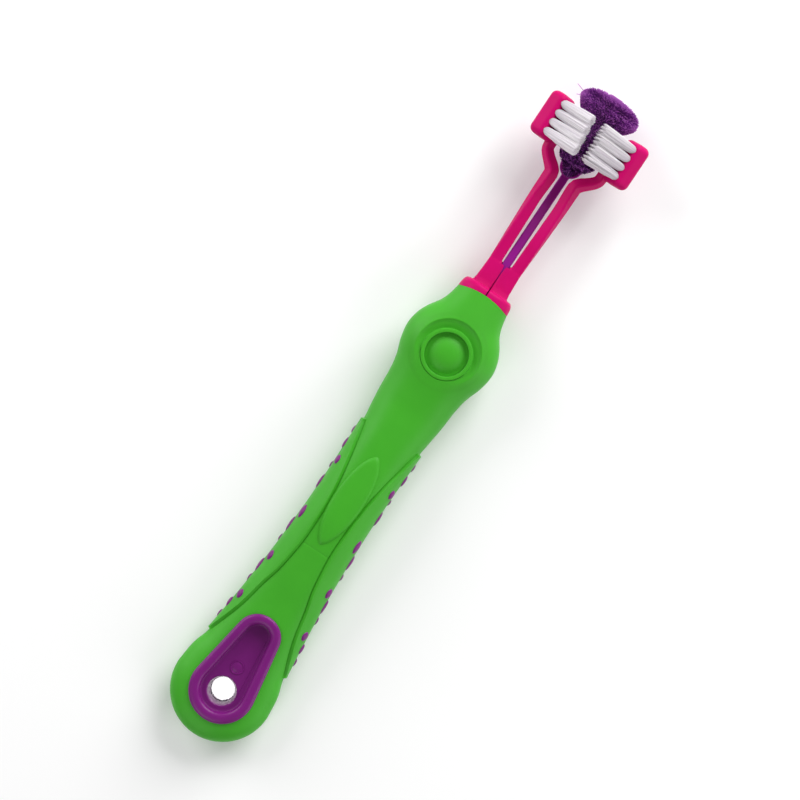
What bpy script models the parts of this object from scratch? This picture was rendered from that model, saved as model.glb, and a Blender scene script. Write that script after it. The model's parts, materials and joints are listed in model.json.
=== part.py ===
"""Three-headed pet toothbrush, lying on its back with its brushes up.

+Y runs from the tail of the handle to the tip of the head, +X is to the right seen from the front, and +Z is up,
out of the front. The origin is under the middle of the whole brush, on the surface that it lies on. The handle is a
hard purple core inside a soft green skin. Two pink mouldings, which meet on the mid-plane, and a purple one held
between them plug into its neck. Each moulding is a springy arm that carries one head of bristles.

Handle shapes are drawn in a frame that starts at the tail end, and head shapes in one that starts in the neck's
mouth and leans forward with the neck. Empties hold those frames, and one more stands on each arm's bending point.
"""

import math

import bmesh
import bpy
from mathutils import Matrix, Vector

MM = 0.001

# Whole brush
OVERALL_LENGTH = 214.8 * MM
GAP = 0.3 * MM  # between touching pieces
CORE_GAP = 0.45 * MM  # between the core and the skin round it

# Handle outline: distance from the tail end, and half width without the side grips
TAIL_RADIUS = 15.0 * MM
WIDTH_KNOTS = [
    (15.0, 15.0), (21.3, 14.3), (26.3, 12.8), (32.0, 12.0), (43.0, 10.8), (53.0, 9.95), (63.0, 9.4),
    (73.4, 9.05), (83.4, 9.0), (92.0, 9.15), (101.0, 9.45), (105.3, 10.0), (110.0, 10.55), (117.0, 11.1),
    (121.2, 11.9), (125.2, 13.3), (129.9, 14.1), (134.0, 13.5), (137.2, 12.1), (140.6, 10.0), (144.0, 8.95),
    (148.4, 8.1),
]  # fmt: skip
DEPTH_KNOTS = [(15.0, 6.5), (25.0, 6.6), (45.0, 7.4), (73.0, 8.7), (95.0, 8.7), (110.0, 8.5), (128.4, 9.3),
               (140.0, 7.7), (148.4, 6.4)]  # fmt: skip
CENTRE_KNOTS = [(110.0, 7.5), (120.0, 8.1), (128.4, 9.3), (140.0, 9.9), (148.4, 10.2)]
BACK_FLAT = 1.0 * MM  # how much the back is flattened, so that the brush lies still
SECTION_POWER = 2.5  # 2 is an ellipse, more is squarer
SECTION_POINTS = 32
SKIN_THICKNESS = 2.2 * MM

# Side grips: raised pads along both flanks, narrow at both ends and reaching furthest round at the waist
GRIP_START = 27.3 * MM
GRIP_END = 100.7 * MM
GRIP_HEIGHT = 0.75 * MM
GRIP_RAMP = 0.25 * MM
GRIP_REACH_ENDS = math.radians(20)
GRIP_REACH_WAIST = math.radians(68)

# Purple studs of the core that stand through the side grips: distance from the tail end, and half length
STUD_ROWS = {
    24.0: [(40.9, 1.3), (54.4, 1.3), (69.7, 1.9), (87.1, 1.2)],
    2.0: [(37.2, 1.5), (50.3, 2.1), (64.8, 2.2), (79.3, 2.1), (92.0, 1.6)],
    -17.0: [(32.8, 1.1), (45.8, 1.1), (59.8, 1.1), (84.8, 0.9), (96.3, 1.1)],
}  # keyed by the angle above the side, in degrees
STUD_HALF_WIDTH = 1.2 * MM
STUD_PROUD = 0.7 * MM
STUD_ROOT = 2.0 * MM  # how far a stud reaches into the core

# Hanging hole in a drop-shaped recess, on the front and on the back
HOLE_PLACE = 15.1 * MM
HOLE_FRONT_RADIUS = 4.2 * MM
HOLE_BACK_RADIUS = 3.4 * MM
DROP_TOP_PLACE = 33.0 * MM
DROP_BIG_RADIUS = 9.6 * MM
DROP_SMALL_RADIUS = 6.7 * MM
RECESS_BIG_RADIUS = 6.2 * MM
RECESS_SMALL_RADIUS = 3.6 * MM
DROP_FRONT_TOP = 12.1 * MM
DROP_BACK_TOP = 0.2 * MM
RECESS_FRONT_FLOOR = 9.2 * MM
RECESS_BACK_FLOOR = 3.2 * MM
DROP_SLOPE = math.radians(3.0)

# Thumb rest: a dish in the hub, with a raised ring round a soft dome
THUMB_PLACE = 128.4 * MM
DISH_RADIUS = 9.4 * MM
DISH_FLOOR = 16.9 * MM
RING_OUTER = 7.4 * MM
RING_INNER = 6.2 * MM
RING_TOP = 17.9 * MM
DOME_RADIUS = 4.7 * MM
DOME_TOP = 17.8 * MM
DOME_FLOOR = 16.3 * MM
BUTTON_FLANGE_TOP = 14.7 * MM
BUTTON_FLANGE_THICKNESS = 1.0 * MM
BUTTON_FLANGE_RADIUS = 6.8 * MM
BUTTON_TRAVEL = 1.2 * MM

# Catch under the dome: a disc, a post, and a bar whose lip presses on the tangs from below
CATCH_DISC_RADIUS = 4.5 * MM
CATCH_DISC_BOTTOM = 12.3 * MM
CATCH_HALF_WIDTH = 1.9 * MM
CATCH_START = 124.5 * MM
CATCH_POST_END = 127.0 * MM
CATCH_LIP_START = 134.8 * MM
CATCH_END = 135.9 * MM
CATCH_BAR_BOTTOM = 6.2 * MM
CATCH_BAR_TOP = 7.1 * MM
CATCH_LIP_TOP = 7.45 * MM

# Neck and head frame
NECK_TILT = math.radians(3.0)
TILT_START = 130.0 * MM
MOUTH_PLACE = 148.4 * MM
MOUTH_HEIGHT = 10.2 * MM

# Pink mouldings, in the head frame
TANG_LENGTH = 15.0 * MM
TANG_HALF_WIDTH = 4.8 * MM
TANG_HALF_DEPTH = 1.7 * MM
STEM_HALF_WIDTH = 5.1 * MM
STEM_HALF_DEPTH = 2.6 * MM
FLANGE_THICKNESS = 2.6 * MM
FLANGE_HALF_WIDTH = 8.1 * MM
FLANGE_HALF_DEPTH = 6.4 * MM
FORK_PLACE = 10.1 * MM
HINGE_PLACE = 13.8 * MM
ARM_WIDTH = 3.5 * MM
ARM_DEPTH = 3.2 * MM
ARM_START_X = 3.4 * MM
ARM_TOP_PLACE = 38.0 * MM
ARM_TOP_X = 4.3 * MM
BEND_END_PLACE = 46.3 * MM
BEND_END_X = 9.9 * MM
BEND_DROP = 1.3 * MM  # the arm's end lies this much behind its root
HEAD_TILT = math.radians(30.0)  # how far the side brushes look forward

# Bristle tufts
TUFT_PITCH = 2.95 * MM
COLUMN_PITCH = 2.6 * MM
SIDE_ROWS = 4
SIDE_COLUMNS = 3
SIDE_MIDDLE = 52.2 * MM
SIDE_ROOT_X = 11.95 * MM  # front column's root
SIDE_ROOT_Z = 4.5 * MM
SIDE_TIP_X = 1.5 * MM
PLATE_LENGTH = 13.8 * MM
PLATE_WIDTH = 8.4 * MM
PLATE_THICKNESS = 5.3 * MM
PLATE_ROUND = 1.6 * MM
HOLE_RADIUS = 1.15 * MM
HOLE_DEPTH = 3.2 * MM
TUFT_FOOT = 2.2 * MM  # how far a tuft reaches into its hole, where its metal anchor holds it
TUFT_ROOT_RADIUS = 0.85 * MM
TUFT_TIP_RADIUS = 1.25 * MM
TIP_OVERLAP = 0.15 * MM  # by which the splayed tips of a row run into each other
TUFT_SIDES = 10

# Purple moulding, in the head frame
STRIP_HALF_WIDTH = 1.25 * MM
STRIP_THICKNESS = 2.2 * MM
STRIP_ROOT_Z = 0.4 * MM
STRIP_TANG_LENGTH = 11.0 * MM
CENTRE_PLATE_TOP = -6.2 * MM
CENTRE_PLATE_THICKNESS = 3.7 * MM
CENTRE_NARROW = (43.6 * MM, 3.4 * MM)  # place and radius of the plate's round ends
CENTRE_WIDE = (59.6 * MM, 6.6 * MM)
# Rows of tufts: place along the head, number across, pitch across, tip height, spread and lean, both in degrees
CENTRE_ROWS = [
    (42.9, 1, 2.9, -1.0, 0.0, -8.0),
    (45.8, 3, 2.5, 0.6, 10.0, -4.0),
    (48.7, 3, 2.9, 0.9, 7.0, 0.0),
    (51.6, 3, 3.0, 0.9, 6.0, 0.0),
    (54.5, 4, 2.9, 0.7, 4.0, 0.0),
    (57.4, 4, 3.0, 0.8, 9.0, 3.0),
    (60.4, 4, 3.0, 2.4, 18.0, 6.0),
    (63.2, 3, 3.0, 2.0, 18.0, 15.0),
]

WHITE = (0.86, 0.86, 0.88, 1.0)
GREEN = (0.07, 0.42, 0.03, 1.0)
PURPLE = (0.2, 0.02, 0.23, 1.0)
PINK = (0.72, 0.005, 0.19, 1.0)
VIOLET = (0.13, 0.02, 0.27, 1.0)


def clear_scene():
    for obj in list(bpy.data.objects):
        bpy.data.objects.remove(obj)


def make_material(name, colour, roughness):
    material = bpy.data.materials.new(name)
    material.use_nodes = True
    shader = material.node_tree.nodes["Principled BSDF"]
    shader.inputs["Base Color"].default_value = colour
    shader.inputs["Roughness"].default_value = roughness
    shader.inputs["Metallic"].default_value = 0.0
    return material


def make_collection(name):
    collection = bpy.data.collections.new(name)
    bpy.context.scene.collection.children.link(collection)
    return collection


def make_empty(name, parent, location, tilt=0.0):
    empty = bpy.data.objects.new(name, None)
    empty.parent = parent
    empty.location = location
    empty.rotation_euler = (tilt, 0.0, 0.0)
    PARTS.objects.link(empty)
    return empty


def make_object(name, bm, frame, material=None):
    """An object from a bmesh drawn in frame's own coordinates, or in those of the frame that a pivot stands in."""
    mesh = bpy.data.meshes.new(name)
    bmesh.ops.recalc_face_normals(bm, faces=bm.faces)
    bm.to_mesh(mesh)
    bm.free()
    obj = bpy.data.objects.new(name, mesh)
    obj.parent = frame
    if frame.name.endswith("pivot"):
        obj.location = -frame.location
    if material:
        mesh.materials.append(material)
        PARTS.objects.link(obj)
        mesh.shade_smooth()
        mesh.set_sharp_from_angle(angle=math.radians(35))
    else:  # a cutter, or a shape that a Boolean joins to another
        TOOLS.objects.link(obj)
        obj.hide_render = True
        obj.display_type = "WIRE"
    return obj


def boolean(target, tool, operation):
    modifier = target.modifiers.new(tool.name, "BOOLEAN")
    modifier.operation = operation
    modifier.object = tool
    modifier.solver = "EXACT"


def round_edges(obj, width, segments=2, angle=35):
    modifier = obj.modifiers.new("round", "BEVEL")
    modifier.width = width
    modifier.segments = segments
    modifier.angle_limit = math.radians(angle)


def smooth_value(knots, place):
    """Value at place, in metres, of a smooth curve through knots in millimetres. It is level beyond both ends."""
    at = place / MM
    if at <= knots[0][0]:
        return knots[0][1] * MM
    if at >= knots[-1][0]:
        return knots[-1][1] * MM
    i = max(k for k in range(len(knots) - 1) if knots[k][0] <= at)

    def slope(k):
        low, high = max(k - 1, 0), min(k + 1, len(knots) - 1)
        return (knots[high][1] - knots[low][1]) / (knots[high][0] - knots[low][0])

    (x0, v0), (x1, v1) = knots[i], knots[i + 1]
    t, span = (at - x0) / (x1 - x0), x1 - x0
    return MM * (
        v0 * (1 + 2 * t) * (1 - t) ** 2
        + slope(i) * span * t * (1 - t) ** 2
        + v1 * t * t * (3 - 2 * t)
        + slope(i + 1) * span * t * t * (t - 1)
    )


def ease(low, high, place):
    """0 before low, 1 after high, and smooth between."""
    t = min(1.0, max(0.0, (place - low) / (high - low)))
    return t * t * (3 - 2 * t)


def signed_power(value, power):
    return math.copysign(abs(value) ** power, value)


def half_width(place):
    return smooth_value(WIDTH_KNOTS, place)


def half_depth(place):
    return smooth_value(DEPTH_KNOTS, place)


def centre_height(place):
    if place < CENTRE_KNOTS[0][0] * MM:
        return half_depth(place) - BACK_FLAT
    return smooth_value(CENTRE_KNOTS, place)


def grip_height(place, angle):
    """How far the side grips raise the surface at this angle."""
    raised = ease(GRIP_START - GRIP_RAMP, GRIP_START + GRIP_RAMP, place)
    raised -= ease(GRIP_END - GRIP_RAMP, GRIP_END + GRIP_RAMP, place)
    along = 2 * (place - GRIP_START) / (GRIP_END - GRIP_START) - 1
    reach = GRIP_REACH_WAIST - (GRIP_REACH_WAIST - GRIP_REACH_ENDS) * min(abs(along), 1.0) ** 1.5
    from_side = math.asin(min(abs(math.sin(angle)), 1.0))
    edge = math.radians(6)
    return GRIP_HEIGHT * raised * (1 - ease(reach - edge, reach + edge, from_side))


def section_point(place, angle, inset=0.0, width=None, depth=None):
    """A point of the handle's section. Angle 0 is the right side, and a right angle is the front."""
    raised = grip_height(place, angle)
    a = (half_width(place) if width is None else width) - inset + raised
    b = (half_depth(place) if depth is None else depth) - inset + raised
    across = a * signed_power(math.cos(angle), 2 / SECTION_POWER)
    up = b * signed_power(math.sin(angle), 2 / SECTION_POWER)
    tilt = NECK_TILT * ease(TILT_START, MOUTH_PLACE, place)
    height = centre_height(place) + up * math.cos(tilt)
    return Vector((across, place - up * math.sin(tilt), max(height, inset)))


def handle_rings(inset, stations):
    """Sections of the handle from its round tail to its mouth, all inset by the same amount."""
    angles = [math.tau * (k + 0.5) / SECTION_POINTS for k in range(SECTION_POINTS)]
    rings = []
    for turn in [math.radians(d) for d in (8, 20, 34, 48, 62, 76)]:
        place = TAIL_RADIUS - (TAIL_RADIUS - inset) * math.cos(turn)
        width = (TAIL_RADIUS - inset) * math.sin(turn) + inset
        depth = (half_depth(place) - inset) * math.sin(turn) ** 0.6 + inset
        rings.append([section_point(place, a, inset, width, depth) for a in angles])
    for place in stations:
        rings.append([section_point(place, a, inset) for a in angles])
    return rings


def loft(rings):
    """A closed solid through rings of points, with a flat cap at each end."""
    bm = bmesh.new()
    loops = [[bm.verts.new(point) for point in ring] for ring in rings]
    for low, high in zip(loops, loops[1:]):
        for k in range(len(low)):
            after = (k + 1) % len(low)
            bm.faces.new((low[k], low[after], high[after], high[k]))
    bm.faces.new(loops[0])
    bm.faces.new(loops[-1])
    return bm


def prism(outline, bottom, top):
    """A solid from a closed outline of (x, y) points."""
    return loft([[Vector((x, y, z)) for x, y in outline] for z in (bottom, top)])


def drop_outline(low_place, low_radius, high_place, high_radius, steps=10):
    """The outline of two circles on the mid-plane and the two straight sides that touch both."""
    lean = math.asin((low_radius - high_radius) / (high_place - low_place))
    points = []
    for place, radius, start, turn in (
        (low_place, low_radius, math.pi - lean, math.pi + 2 * lean),
        (high_place, high_radius, lean, math.pi - 2 * lean),
    ):
        for k in range(steps + 1):
            angle = start + turn * k / steps
            points.append((radius * math.cos(angle), place + radius * math.sin(angle)))
    return points


def cylinder(radius_low, radius_high, bottom, top, sides, place=0.0):
    bm = bmesh.new()
    bmesh.ops.create_cone(
        bm, cap_ends=True, segments=sides, radius1=radius_low, radius2=radius_high, depth=top - bottom,
        matrix=Matrix.Translation((0.0, place, (bottom + top) / 2)),
    )  # fmt: skip
    return bm


def box(low, high):
    bm = bmesh.new()
    low, high = Vector(low), Vector(high)
    bmesh.ops.create_cube(
        bm, size=1.0, matrix=Matrix.Translation((low + high) / 2) @ Matrix.Diagonal((*(high - low), 1.0))
    )
    return bm


def turned(profile, place, sides):
    """A solid turned about the upright axis at place, from (radius, height) points that start and end on it."""
    bm = bmesh.new()
    verts = [bm.verts.new((radius, place, height)) for radius, height in profile]
    edges = [bm.edges.new(pair) for pair in zip(verts, verts[1:])]
    bmesh.ops.spin(
        bm, geom=verts + edges, cent=(0.0, place, 0.0), axis=(0.0, 0.0, 1.0), angle=math.tau, steps=sides
    )
    bmesh.ops.remove_doubles(bm, verts=bm.verts, dist=0.001 * MM)
    return bm


def join(shapes):
    """One bmesh that holds several separate solids."""
    whole = bmesh.new()
    for bm in shapes:
        mesh = bpy.data.meshes.new("shape")
        bm.to_mesh(mesh)
        bm.free()
        whole.from_mesh(mesh)
        bpy.data.meshes.remove(mesh)
    return whole


def pointing(origin, direction):
    """The matrix that stands an upright shape on origin, along direction, with its x axis square to the brush."""
    across = Vector((0.0, 1.0, 0.0)).cross(direction).normalized()
    axes = Matrix((across, direction.cross(across), direction)).transposed()
    return Matrix.Translation(origin) @ axes.to_4x4()


def stud(place, angle, half_length, side, gap):
    """A stud of the core, or with a gap the hole round it. It is an oval peg with a slightly smaller top."""
    angle = math.radians(angle)
    surface = section_point(place, angle)
    around = section_point(place, angle + 0.05) - section_point(place, angle - 0.05)
    outward = Vector((around.z, 0.0, -around.x)).normalized()
    height = SKIN_THICKNESS + GAP + STUD_ROOT + STUD_PROUD + gap
    root = surface - outward * (SKIN_THICKNESS + GAP + STUD_ROOT)
    bm = bmesh.new()
    bmesh.ops.create_cone(
        bm, cap_ends=True, segments=10, radius1=1.0, radius2=0.8, depth=1.0, matrix=Matrix.Translation((0, 0, 0.5))
    )
    across = around.normalized()
    frame = Matrix((across * (STUD_HALF_WIDTH + gap), Vector((0, half_length * MM + gap, 0)), outward * height))
    bmesh.ops.transform(bm, matrix=Matrix.Translation(root) @ frame.transposed().to_4x4(), verts=bm.verts)
    if side < 0:
        bmesh.ops.scale(bm, vec=(-1.0, 1.0, 1.0), verts=bm.verts)
        bmesh.ops.reverse_faces(bm, faces=bm.faces)
    return bm


def all_studs(gap):
    return join(
        stud(place * MM, angle, half_length, side, gap)
        for angle, row in STUD_ROWS.items()
        for place, half_length in row
        for side in (1, -1)
    )


STATIONS = [
    p * MM
    for p in (16.5, 20, 23.5, 27, 27.6, 31, 35, 40, 46, 53, 60, 67, 74, 81, 88, 95, 100.4, 101, 106, 110, 114, 118,
              121, 123.5, 126, 128.4, 131, 133.5, 135.8, 137.8, 139.3, 141, 143, 145.5, 148.4)
]  # fmt: skip


def drop_solid(name, frame, extra, bottom, top, big=DROP_BIG_RADIUS, small=DROP_SMALL_RADIUS, slope=0.0):
    """A drop-shaped block. Its top slopes up towards the head by slope, about the hanging hole."""
    outline = drop_outline(HOLE_PLACE, big + extra, DROP_TOP_PLACE, small + extra)
    bm = prism(outline, bottom, top)
    for vert in bm.verts:
        if vert.co.z == max(bottom, top):
            vert.co.z += (vert.co.y - HOLE_PLACE) * math.tan(slope)
    return make_object(name, bm, frame)


def make_handle_core(frame, head_frame, material):
    """The hard core: it fills the skin, and shows as the drop on both sides of the tail and as the side studs."""
    core_inset = SKIN_THICKNESS + CORE_GAP
    core = make_object("handle_core", loft(handle_rings(core_inset, STATIONS[::2])), frame, material)
    boolean(core, drop_solid("drop_frame", frame, 0.0, DROP_BACK_TOP, DROP_FRONT_TOP, slope=DROP_SLOPE), "UNION")
    boolean(core, make_object("studs", all_studs(0.0), frame), "UNION")
    sizes = {"big": RECESS_BIG_RADIUS, "small": RECESS_SMALL_RADIUS}
    above, below = DROP_FRONT_TOP + 5 * MM, -5 * MM
    boolean(core, drop_solid("front_recess", frame, 0.0, RECESS_FRONT_FLOOR, above, **sizes), "DIFFERENCE")
    boolean(core, drop_solid("back_recess", frame, 0.0, below, RECESS_BACK_FLOOR, **sizes), "DIFFERENCE")
    hole = cylinder(HOLE_BACK_RADIUS, HOLE_FRONT_RADIUS, RECESS_BACK_FLOOR - MM, RECESS_FRONT_FLOOR + MM, 24, HOLE_PLACE)
    boolean(core, make_object("hanging_hole", hole, frame), "DIFFERENCE")
    half, deep = TANG_HALF_WIDTH + GAP, TANG_HALF_DEPTH + GAP
    socket = box((-half, -TANG_LENGTH - GAP, -deep), (half, 2 * MM, deep))
    boolean(core, make_object("socket", socket, head_frame), "DIFFERENCE")
    radius = BUTTON_FLANGE_RADIUS + GAP
    floor = CATCH_DISC_BOTTOM - BUTTON_TRAVEL - GAP
    pocket = cylinder(radius, radius, floor, DISH_FLOOR, 28, THUMB_PLACE)
    boolean(core, make_object("button_pocket", pocket, frame), "DIFFERENCE")
    half = CATCH_HALF_WIDTH + GAP
    well = box(
        (-half, CATCH_START - GAP, CATCH_BAR_BOTTOM - BUTTON_TRAVEL - GAP), (half, CATCH_END + GAP, DISH_FLOOR - 3 * MM)
    )
    boolean(core, make_object("catch_well", well, frame), "DIFFERENCE")


def make_grip_skin(frame, material):
    """The soft skin, with windows for the drop, the studs and the thumb dome, and a ring round the dome."""
    skin = make_object("grip_skin", loft(handle_rings(0.0, STATIONS)), frame, material)
    dish = cylinder(DISH_RADIUS, DISH_RADIUS + MM, DISH_FLOOR, DISH_FLOOR + 5 * MM, 32, THUMB_PLACE)
    boolean(skin, make_object("dish", dish, frame), "DIFFERENCE")
    ring = cylinder(RING_OUTER, RING_OUTER - 0.2 * MM, DISH_FLOOR - MM, RING_TOP, 32, THUMB_PLACE)
    boolean(skin, make_object("ring", ring, frame), "UNION")
    inner = handle_rings(SKIN_THICKNESS, STATIONS[::2])
    axis = Vector((0.0, math.cos(NECK_TILT), math.sin(NECK_TILT)))
    inner[-1] = [point + axis * 2 * MM for point in inner[-1]]
    boolean(skin, make_object("skin_inside", loft(inner), frame), "DIFFERENCE")
    well = cylinder(RING_INNER, RING_INNER, DISH_FLOOR - 4 * MM, RING_TOP + MM, 32, THUMB_PLACE)
    boolean(skin, make_object("button_well", well, frame), "DIFFERENCE")
    window = drop_solid("drop_window", frame, GAP, -5 * MM, DROP_FRONT_TOP + 5 * MM)
    boolean(skin, window, "DIFFERENCE")
    boolean(skin, make_object("stud_holes", all_studs(GAP), frame), "DIFFERENCE")


def make_thumb_button(frame, material):
    """The soft dome inside the ring. A flange under the skin keeps it in."""
    sleeve = RING_INNER - GAP
    under = BUTTON_FLANGE_TOP - BUTTON_FLANGE_THICKNESS
    crown = [(DOME_RADIUS * math.sin(t), DOME_FLOOR + (DOME_TOP - DOME_FLOOR) * math.cos(t)) for t in
             [math.radians(d) for d in (0, 25, 50, 75)]]  # fmt: skip
    profile = crown + [(DOME_RADIUS + 0.4 * MM, DOME_FLOOR), (sleeve, DOME_FLOOR), (sleeve, BUTTON_FLANGE_TOP),
                       (BUTTON_FLANGE_RADIUS, BUTTON_FLANGE_TOP), (BUTTON_FLANGE_RADIUS, under), (0.0, under)]  # fmt: skip
    make_object("thumb_button", turned(profile, THUMB_PLACE, 28), frame, material)


def make_release_catch(frame, material):
    """The hard catch that the dome pushes down, which lets the tangs go."""
    top = BUTTON_FLANGE_TOP - BUTTON_FLANGE_THICKNESS - GAP
    disc = cylinder(CATCH_DISC_RADIUS, CATCH_DISC_RADIUS, CATCH_DISC_BOTTOM, top, 24, THUMB_PLACE)
    catch = make_object("release_catch", disc, frame, material)
    half = CATCH_HALF_WIDTH
    for name, start, end, low, high in (
        ("catch_post", CATCH_START, CATCH_POST_END, CATCH_BAR_BOTTOM, top - 0.1 * MM),
        ("catch_bar", CATCH_START, CATCH_END, CATCH_BAR_BOTTOM, CATCH_BAR_TOP),
        ("catch_lip", CATCH_LIP_START, CATCH_END, CATCH_BAR_BOTTOM, CATCH_LIP_TOP),
    ):
        boolean(catch, make_object(name, box((-half, start, low), (half, end, high)), frame), "UNION")


def rectangle_ring(centre, across, upward, half_across, half_up, corner):
    """Eight points round a rectangle with cut corners, in the plane of across and upward."""
    points = []
    for sx, sz in ((1, 1), (-1, 1), (-1, -1), (1, -1)):
        cuts = [(half_across - corner, half_up), (half_across, half_up - corner)]
        for x, z in cuts if sx * sz < 0 else reversed(cuts):
            points.append(centre + across * sx * x + upward * sz * z)
    return points


def side_arm_centre(place, side):
    """The arm's centre line: straight and slightly spread, then bent outwards to its head."""
    straight = (place - FORK_PLACE) / (ARM_TOP_PLACE - FORK_PLACE)
    across = ARM_START_X + (ARM_TOP_X - ARM_START_X) * min(straight, 1.0)
    across += (BEND_END_X - ARM_TOP_X) * ease(ARM_TOP_PLACE, BEND_END_PLACE, place)
    return Vector((side * across, place, -BEND_DROP * ease(FORK_PLACE, BEND_END_PLACE, place)))


def side_arm_rings(places, side):
    """Sections of a side arm, which turns towards its head's own tilt on the way up."""
    rings = []
    for place in places:
        ahead = side_arm_centre(place + 0.1 * MM, side) - side_arm_centre(place - 0.1 * MM, side)
        along = ahead.normalized()
        across = along.cross(Vector((0, 0, 1))).normalized()
        twist = -side * HEAD_TILT * ease(FORK_PLACE, BEND_END_PLACE, place)
        turn = Matrix.Rotation(twist, 3, along)
        shrink = 1 - 0.14 * ease(FORK_PLACE, BEND_END_PLACE, place)
        rings.append(
            rectangle_ring(
                side_arm_centre(place, side), turn @ across, turn @ across.cross(along), ARM_WIDTH / 2 * shrink,
                ARM_DEPTH / 2, 0.5 * MM,
            )
        )  # fmt: skip
    return rings


def make_side_clip(side, frame, material):
    """The fixed part of a pink moulding: its tang, half of the flange, half of the stem and the arm's root."""
    name = "right" if side > 0 else "left"
    rings = []
    cut = 0.5 * MM  # off each outer corner
    for place, out, deep in (
        (-TANG_LENGTH, TANG_HALF_WIDTH - cut, TANG_HALF_DEPTH - cut),
        (-TANG_LENGTH + 2 * cut, TANG_HALF_WIDTH, TANG_HALF_DEPTH),
        (FLANGE_THICKNESS / 2, TANG_HALF_WIDTH, TANG_HALF_DEPTH),
        (FLANGE_THICKNESS - cut, STEM_HALF_WIDTH, STEM_HALF_DEPTH),
        (FORK_PLACE - 1.5 * cut, STEM_HALF_WIDTH, STEM_HALF_DEPTH),
        (FORK_PLACE, STEM_HALF_WIDTH, STEM_HALF_DEPTH - cut),
    ):
        corners = ((GAP / 2, deep), (out - cut, deep), (out, deep - cut), (out, cut - deep), (out - cut, -deep),
                   (GAP / 2, -deep))  # fmt: skip
        rings.append([Vector((side * x, place, z)) for x, z in corners])
    clip = make_object(f"{name}_clip", loft(rings), frame, material)
    steps = [math.tau * k / SECTION_POINTS for k in range(SECTION_POINTS)]
    rings = []
    for place, shrink in ((GAP, 0.0), (FLANGE_THICKNESS - 1.2 * MM, 0.15 * MM), (FLANGE_THICKNESS - 0.4 * MM, 0.7 * MM),
                          (FLANGE_THICKNESS, 1.5 * MM)):  # fmt: skip
        a, b = FLANGE_HALF_WIDTH - shrink, FLANGE_HALF_DEPTH - shrink
        rings.append(
            [Vector((a * signed_power(math.cos(t), 0.8), place, b * signed_power(math.sin(t), 0.8))) for t in steps]
        )
    flange = make_object(f"{name}_flange", loft(rings), frame)
    far = -side * 20 * MM
    keep_out = box((min(far, side * GAP / 2), -30 * MM, -20 * MM), (max(far, side * GAP / 2), 30 * MM, 20 * MM))
    boolean(flange, make_object(f"{name}_mid_plane", keep_out, frame), "DIFFERENCE")
    boolean(clip, flange, "UNION")
    root_places = [FORK_PLACE - 1.5 * MM, FORK_PLACE, (FORK_PLACE + HINGE_PLACE) / 2, HINGE_PLACE - GAP / 2]
    boolean(clip, make_object(f"{name}_arm_root", loft(side_arm_rings(root_places, side)), frame), "UNION")
    half = STRIP_HALF_WIDTH + GAP
    groove = box(
        (-half, -STRIP_TANG_LENGTH - GAP, STRIP_ROOT_Z - STRIP_THICKNESS / 2 - GAP),
        (half, 30 * MM, STRIP_ROOT_Z + STRIP_THICKNESS / 2 + GAP),
    )
    boolean(clip, make_object(f"{name}_groove", groove, frame), "DIFFERENCE")


def side_root(row, column, side):
    """The middle of a tuft's root, on the face of a side head's plate. Column 0 is the front one."""
    place = SIDE_MIDDLE + (row - (SIDE_ROWS - 1) / 2) * TUFT_PITCH
    step = column * COLUMN_PITCH
    across = SIDE_ROOT_X - step * math.sin(HEAD_TILT)
    return Vector((side * across, place, SIDE_ROOT_Z - step * math.cos(HEAD_TILT)))


def side_direction(side):
    return Vector((-side * math.cos(HEAD_TILT), 0.0, math.sin(HEAD_TILT)))


def drill(roots, name, frame):
    """A cutter for the holes that hold tufts, from (root, direction) pairs."""
    shapes = []
    for root, direction in roots:
        bm = cylinder(HOLE_RADIUS, HOLE_RADIUS, -HOLE_DEPTH, 1.2 * MM, 12)
        bmesh.ops.transform(bm, matrix=pointing(root, direction), verts=bm.verts)
        shapes.append(bm)
    return make_object(name, join(shapes), frame)


def tuft(root, direction, length, row_radius):
    """One tuft, from its foot in the hole to its splayed tips. The radius of its tips along its row is row_radius."""
    near = 0.5 * MM  # above the root, where it starts to splay
    angles = [math.tau * k / TUFT_SIDES for k in range(TUFT_SIDES)]
    rings = [
        [Vector((along * math.cos(a), across * math.sin(a), height)) for a in angles]
        for along, across, height in (
            (TUFT_ROOT_RADIUS, TUFT_ROOT_RADIUS, -TUFT_FOOT),
            (TUFT_ROOT_RADIUS, TUFT_ROOT_RADIUS, near),
            (row_radius, TUFT_TIP_RADIUS, length),
        )
    ]
    bm = loft(rings)
    bmesh.ops.transform(bm, matrix=pointing(root, direction), verts=bm.verts)
    return bm


def make_tuft_row(name, row, frame, material):
    """A row of tufts, from (root, direction, length) triples. Their splayed tips meet, so they are one body."""
    tips = [root + direction * length for root, direction, length in row]
    spacing = max((b - a).length for a, b in zip(tips, tips[1:])) if len(row) > 1 else 0.0
    radius = max(spacing / 2 + TIP_OVERLAP, TUFT_TIP_RADIUS)
    first, *others = [tuft(root, direction, length, radius) for root, direction, length in row]
    whole = make_object(name, first, frame, material)
    for number, bm in enumerate(others, start=2):
        boolean(whole, make_object(f"{name}_tuft_{number}", bm, frame), "UNION")


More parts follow.
